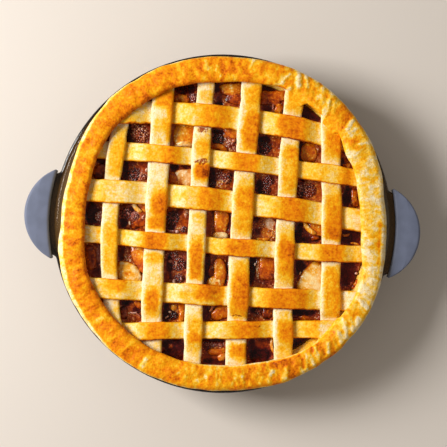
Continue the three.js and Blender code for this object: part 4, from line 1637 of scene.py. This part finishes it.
    slices: tuple[AppleSlice, ...] = (
        # Openings outside the first strip along Y
        AppleSlice(-92.5, 33, 15, 9, 75, 1.8, 0.34, 0.9), AppleSlice(-96, -31, 23, 8, 98, 1.8, 0.40, 1.0),
        # Beyond the first strip along X
        AppleSlice(-36, 89.8, 16, 6, 0, 2.2, 0.54, 1.0), AppleSlice(1, 100, 20, 9, 8, 2.6, 0.68, 1.0),
        AppleSlice(4, 92.5, 16, 8, -10, 2.2, 0.38, 0.8), AppleSlice(33, 97, 25, 8, 4, 2.4, 0.42, 0.95),
        AppleSlice(30, 92, 18, 6, 0, 1.8, 0.34, 0.9), AppleSlice(37, 87, 8, 6, 60, 2.4, 0.56, 1.0),
        AppleSlice(32.8, 87.5, 7, 1.4, 96, 2.2, 0.60, 0.1),
        # Between the first two strips along X
        AppleSlice(-30.5, 63, 22, 20, 88, 3.0, 0.68, 1.0), AppleSlice(-33, 56.5, 16, 4, 4, 3.2, 0.88, 0.9),
        AppleSlice(4, 68.5, 15, 9, -14, 2.8, 0.58, 1.0), AppleSlice(-5, 55.5, 14, 4, -12, 2.4, 0.56, 1.0),
        AppleSlice(5.5, 62, 4, 2.2, 70, 2.4, 0.80, 0.4), AppleSlice(61.5, 56, 17, 12, 92, 2.2, 0.52, 1.0),
        AppleSlice(89, 48, 6, 4, 10, 2.2, 0.72, 0.9),
        # Between the second and the third
        AppleSlice(-58, 36.5, 2.6, 1.3, 75, 2.4, 0.95, 0.3),
        AppleSlice(-27, 33.2, 24, 13, 5, 2.4, 0.82, 0.7), AppleSlice(-39, 30.5, 13, 7, -60, 2.4, 0.42, 1.0),
        AppleSlice(1.5, 31.5, 4.5, 1.2, 55, 2.2, 0.64, 0.3), AppleSlice(97, 25, 18, 4.5, 97, 2.0, 0.50, 0.95),
        # Between the third and the fourth
        AppleSlice(-63.3, 7.6, 9, 3.2, -45, 2.6, 0.76, 0.9), AppleSlice(-59.5, 9, 9, 6, -35, 2.2, 0.60, 1.0),
        AppleSlice(-68.3, -3.6, 3.8, 1.5, -75, 2.6, 0.97, 0.5),
        AppleSlice(-62, -4, 13, 6, 22, 2.0, 0.32, 1.0),
        AppleSlice(-37, -7.5, 9, 2, 0, 2.2, 0.52, 0.0), AppleSlice(-33, -7.8, 2.8, 2.2, 10, 2.6, 0.90, 0.1),
        AppleSlice(-1.5, 4, 25, 11, 90, 3.0, 0.60, 1.0), AppleSlice(-0.5, -9, 12, 5, 0, 2.8, 0.90, 0.9),
        AppleSlice(30, -9.8, 14, 3.2, 2, 2.0, 0.66, 1.0),
        AppleSlice(70.5, 0.5, 17, 11, -35, 2.6, 0.54, 1.0), AppleSlice(64, 0.5, 14, 3.6, -43, 2.8, 0.68, 1.0),
        AppleSlice(69, -7, 9, 3.4, 18, 1.8, 0.32, 1.0), AppleSlice(91.8, -3.2, 6, 2, 12, 1.8, 0.52, 1.0),
        AppleSlice(98.5, -9.2, 8, 1.6, -8, 1.8, 0.52, 1.0),
        # Between the fourth and the fifth
        AppleSlice(-58, -27, 32, 12, -64, 2.8, 0.58, 1.0),
        AppleSlice(-67.5, -41.5, 25, 15, -35, 3.0, 0.84, 1.0),
        AppleSlice(-32.3, -32, 5, 1.1, 88, 2.8, 0.90, 0.2), AppleSlice(-33, -45, 4, 1.9, 100, 2.6, 0.92, 0.2),
        AppleSlice(-0.5, -38, 26, 9.5, 89, 2.8, 0.60, 1.0), AppleSlice(-3, -43.5, 13, 8, 0, 3.1, 0.82, 1.0),
        AppleSlice(36, -29, 23, 16, 86, 3.0, 0.46, 1.0), AppleSlice(26, -28.5, 2.8, 1.2, 70, 3.0, 0.98, 0.2),
        AppleSlice(71, -38.5, 30, 24, 60, 3.2, 0.90, 1.0),
        AppleSlice(59.6, -33.2, 3.8, 1.5, 70, 2.6, 0.76, 0.6),
        AppleSlice(101.5, -39, 11, 5, 62, 2.0, 0.44, 1.0), AppleSlice(101, -31, 2, 1.6, 0, 2.0, 0.74, 0.1),
        # Between the fifth and the sixth
        AppleSlice(-58.5, -62.5, 10, 4.5, -45, 2.6, 0.44, 1.0),
        AppleSlice(-69, -70, 11, 6, 100, 1.8, 0.34, 0.5),
        AppleSlice(-61.5, -69.3, 6, 1.1, 5, 2.2, 0.72, 0.1),
        AppleSlice(-58, -71, 5, 1.1, -35, 2.2, 0.72, 0.1),
        AppleSlice(-32.4, -63.8, 4.6, 3.6, 0, 2.6, 0.84, 1.0),
        AppleSlice(-35, -67.3, 2.4, 1.2, -10, 2.6, 0.95, 0.3),
        AppleSlice(-26, -67, 15, 5, 95, 2.6, 0.68, 1.0), AppleSlice(-37, -71.5, 4, 1.5, 40, 2.2, 0.70, 0.1),
        AppleSlice(-4.3, -63.3, 4.8, 1.7, 65, 2.8, 0.80, 0.4), AppleSlice(4, -66, 18, 10, 16, 2.6, 0.62, 1.0),
        AppleSlice(37.5, -63.5, 11, 9, 88, 1.8, 0.30, 1.0), AppleSlice(65, -67, 20, 3, 3, 1.8, 0.36, 1.0),
        # On the near side of the sixth
        AppleSlice(2, -94.5, 15, 5.5, 8, 2.6, 0.60, 1.0), AppleSlice(6, -98.5, 8, 5, 20, 2.2, 0.62, 0.85),
        AppleSlice(42.2, -88, 11, 1.9, -80, 2.2, 0.72, 0.9),
    )
    berries: tuple[DarkBerry, ...] = (
        DarkBerry(-90.2, 0, 4.6, 2.0, 0.72, 0.0), DarkBerry(-26.5, 92, 3.6, 2.0, 0.55, 0.0),
        DarkBerry(-64.5, 62.5, 8.6, 2.6, 0.52, 0.3), DarkBerry(-6.5, 62.2, 5.4, 2.0, 0.10, 0.0),
        DarkBerry(28.6, 57.6, 6.0, 2.0, 0.14, 0.0), DarkBerry(-67, 33, 6.5, 1.8, 0.26, 0.1),
        DarkBerry(-61, 31, 3.6, 1.8, 0.48, 0.3), DarkBerry(-8.5, 28.5, 3.2, 1.6, 0.06, 0.0),
        DarkBerry(1, 33.5, 5.0, 1.8, 0.34, 0.1), DarkBerry(32, 33.5, 5.2, 1.8, 0.34, 0.0),
        DarkBerry(31, 26.6, 4.0, 1.6, 0.32, 0.1), DarkBerry(62, 28.5, 7.2, 2.0, 0.42, 0.2),
        DarkBerry(-71.5, 3.5, 5.0, 1.8, 0.32, 0.1), DarkBerry(-64.5, 1.8, 4.0, 2.0, 0.48, 0.1),
        DarkBerry(-36, 2.4, 6.3, 2.0, 0.22, 0.0), DarkBerry(-28, -6, 3.2, 1.6, 0.32, 0.1),
        DarkBerry(-30, -32, 6.6, 2.0, 0.30, 0.1), DarkBerry(-34, -25.5, 3.2, 1.8, 0.38, 0.1),
        DarkBerry(-29.5, -42, 4.3, 1.8, 0.34, 0.1), DarkBerry(-32.5, -69.5, 4.4, 1.6, 0.14, 0.0),
        DarkBerry(30.5, -63.4, 3.4, 1.6, 0.34, 0.1), DarkBerry(-7.5, -89.3, 2.0, 1.6, 0.40, 0.0),
        DarkBerry(-4.4, -89.5, 1.9, 1.6, 0.50, 0.0), DarkBerry(-0.5, -89.6, 2.0, 1.6, 0.52, 0.0),
        DarkBerry(4, -89.4, 2.0, 1.6, 0.46, 0.1),
    )

    def build(self) -> None:
        """Makes the syrup, the slices, the berries and the loose grains."""
        sizes, crust = self.sizes, self.crust
        floor = sizes.wall + crust.thickness - 0.1
        inset = crust.thickness - 0.1
        edge = sizes.inside_wall(self.edge_height, inset)
        side = rounded_outline([
            (30.0, floor),
            (sizes.inside_wall(floor, inset), floor, 6.8),
            (edge, self.edge_height),
        ], 5, longest=20)
        radii = np.arange(edge - self.ring_step, 1.0, -self.ring_step)
        surface = np.column_stack([radii, np.full(len(radii), self.top)])
        angles = np.linspace(0, 2 * np.pi, self.angle_steps, endpoint=False)
        rings = turned_rings(np.vstack([side, surface]), angles)
        upper = slice(len(side), None)
        rise, look = self._surface(rings[upper])
        rings[upper, :, 2] += rise
        looks = np.zeros(rings.shape)
        looks[upper] = look
        values = dict(zip(("flesh", "amber", "grainy"), np.moveaxis(looks, -1, 0)))
        syrup = StewedFruit("fruit_syrup", 0.2, 0.45).material()
        Shape.from_rings(rings, **values).build("fruit_syrup", "filling", syrup, ["filling"])
        slices = [cut.shape(i, self._level(cut)) for i, cut in enumerate(self.slices)]
        stewed = StewedFruit("stewed_apple", 0.26, 0.4).material()
        Shape.joined(slices).build("apple_slices", "filling", stewed)
        berries = [
            part for i, berry in enumerate(self.berries) for part in berry.shapes(i, self._level(berry))
        ]
        glossy = StewedFruit("stewed_berry", 0.16, 1.0).material()
        Shape.joined(berries).build("dark_berries", "filling", glossy)
        Shape.joined(self._grains()).build("fruit_grains", "filling", glossy)

    def _swell(self, flat: np.ndarray) -> np.ndarray:
        """Slow rise and fall of the syrup."""
        return 0.6 * SoftNoise(60)(flat, 15) + 0.35 * SoftNoise(61)(flat, 6)

    def _level(self, piece: AppleSlice | DarkBerry) -> float:
        """Height of the syrup where a piece of fruit lies."""
        return self.top + float(self._swell(np.array([piece.x, piece.y, 0.0]))) * 0.4

    def _surface(self, points: np.ndarray) -> tuple[np.ndarray, np.ndarray]:
        """Height of the syrup over its mean and its flesh, amber and grainy values, at places in plan."""
        flat = points * np.array([1, 1, 0])
        look = np.empty(flat.shape)
        look[..., 0] = 0.40 + 0.14 * SoftNoise(68)(flat, 10)
        look[..., 1] = 0.52 + 0.35 * SoftNoise(69)(flat, 12)
        look[..., 2] = 0.6
        for pulp in self.pulps_and_painted_shadows:
            look += (np.array([pulp.flesh, pulp.amber, pulp.grainy]) - look) * pulp.weight(flat)[..., None]
        grainy = look[..., 2]
        coarse, coarse_kind = Pebbles(65, 3.6)(flat)
        fine, fine_kind = Pebbles(66, 2.0)(flat)
        rise = self._swell(flat) + (0.25 + 0.75 * grainy) * (0.6 * coarse + 0.4 * fine) - 0.5
        look[..., 0] = 0.08 + 0.94 * look[..., 0]
        speckle = 0.22 * (fine_kind - 0.5) + 0.18 * (coarse_kind - 0.5) + 0.16 * (coarse - 0.7)
        look[..., 0] += grainy * speckle
        return rise, np.clip(look, 0, 1)

    def _grains(self) -> list[Shape]:
        """Loose seeds and flecks that lie on the pulp."""
        dice = np.random.default_rng(12)
        unit = ball(3, 6)
        made = []
        for pulp in self.pulps_and_painted_shadows:
            if pulp.grainy < 0.8:
                continue
            for _ in range(int(pulp.along_x * pulp.along_y)):
                turn, out = dice.uniform(0, 2 * math.pi), math.sqrt(dice.uniform(0, 1))
                place = np.array([pulp.x + pulp.along_x * out * math.cos(turn),
                                  pulp.y + pulp.along_y * out * math.sin(turn), 0.0])
                rise, _look = self._surface(place)
                centre = place + np.array([0, 0, self.top + float(rise) + 0.1])
                size = dice.uniform(*self.grain_radius)
                values = {"flesh": dice.uniform(0.3, 0.95), "amber": dice.uniform(0, 0.4), "grainy": 0.0}
                flat_values = {label: np.full(unit.shape[:2], value) for label, value in values.items()}
                made.append(Shape.from_rings(centre + unit * size, **flat_values))
        return made


# ---------------------------------------------------------------------------------------------------------
# Studio
# ---------------------------------------------------------------------------------------------------------


@dataclass(frozen=True)
class Studio:
    """Pale floor, soft light from the upper left, and a camera straight above."""

    frame_pixels: int = 447
    mm_per_pixel: float = 0.734
    focus_height: float = 46.0
    distance: float = 1150.0
    aim: tuple[float, float] = (0.9, 0.2)
    roll: float = 3.3
    floor_colour: str = "#d9cfc4"
    floor_size: float = 6000.0
    key_place: tuple[float, float, float] = (-1000.0, 230.0, 800.0)
    key_size: float = 560.0
    key_watts: float = 22.5
    sky: str = "#ece6de"
    sky_strength: float = 0.41
    overhead: float = 0.3  # share of the sky's light that is left straight overhead, so that syrup looks deep

    def build(self) -> None:
        """Makes the floor, the lights and the camera."""
        scene = bpy.context.scene
        scene.view_settings.view_transform = "Standard"
        self._floor()
        self._light()
        self._world(scene)
        camera = bpy.data.cameras.new("camera")
        width = self.frame_pixels * self.mm_per_pixel
        camera.sensor_width = 36.0
        camera.lens = camera.sensor_width * self.distance / width
        camera.clip_end = 20.0
        holder = bpy.data.objects.new("camera", camera)
        holder.location = (self.aim[0] * MM, self.aim[1] * MM, (self.focus_height + self.distance) * MM)
        holder.rotation_euler = (0.0, 0.0, math.radians(self.roll))
        scene.collection.objects.link(holder)
        scene.camera = holder

    def _floor(self) -> None:
        """Large plain floor under the dish."""
        material, tree = blank_material("floor")
        surface = add_node(tree, "ShaderNodeBsdfPrincipled", {
            "Base Color": linear(self.floor_colour), "Roughness": 0.7,
        })
        add_node(tree, "ShaderNodeOutputMaterial", {"Surface": surface.outputs[0]})
        mesh = bpy.data.meshes.new("floor")
        half = self.floor_size * MM / 2
        corners = [(-half, -half, 0), (half, -half, 0), (half, half, 0), (-half, half, 0)]
        mesh.from_pydata(corners, [], [(0, 1, 2, 3)])
        mesh.materials.append(material)
        floor = bpy.data.objects.new("floor", mesh)
        bpy.context.scene.collection.objects.link(floor)

    def _light(self) -> None:
        """One large soft light, like a window to the left."""
        lamp = bpy.data.lights.new("window", "AREA")
        lamp.shape, lamp.size, lamp.energy = "SQUARE", self.key_size * MM, self.key_watts
        holder = bpy.data.objects.new("window", lamp)
        place = np.array(self.key_place) * MM
        holder.location = place
        tilt = math.atan2(math.hypot(place[0], place[1]), place[2])
        holder.rotation_euler = (tilt, 0.0, math.atan2(place[1], place[0]) + math.pi / 2)
        bpy.context.scene.collection.objects.link(holder)

    def _world(self, scene: bpy.types.Scene) -> None:
        """Light from all round, weaker straight overhead."""
        world = bpy.data.worlds.new("studio")
        world.use_nodes = True
        world.node_tree.nodes.clear()
        towards = add_node(world.node_tree, "ShaderNodeTexCoord").outputs["Generated"]
        upward = add_node(world.node_tree, "ShaderNodeSeparateXYZ", {0: towards}).outputs[2]
        strength = add_node(world.node_tree, "ShaderNodeMapRange", {
            0: upward, 1: 0.86, 2: 0.96, 3: self.sky_strength, 4: self.sky_strength * self.overhead,
        }).outputs[0]
        sky = add_node(world.node_tree, "ShaderNodeBackground", {
            "Color": linear(self.sky), "Strength": strength,
        })
        add_node(world.node_tree, "ShaderNodeOutputWorld", {"Surface": sky.outputs[0]})
        scene.world = world


# ---------------------------------------------------------------------------------------------------------
# The pie
# ---------------------------------------------------------------------------------------------------------


def main() -> None:
    """Builds the pie, its dish and the studio."""
    logging.basicConfig(level=logging.INFO, format="%(name)s: %(message)s")
    Studio().build()
    sizes = DishSizes()
    GlassDish(sizes).build()
    silicone = MouldedSilicone().material()
    Grip("grip_sleeve_right", "grip_right", 0.0, sizes).build(silicone)
    Grip("grip_sleeve_left", "grip_left", math.pi, sizes).build(silicone)
    crust = Crust(sizes)
    crust.build()
    Lattice().build()
    Filling(sizes, crust).build()


if __name__ == "__main__":
    main()
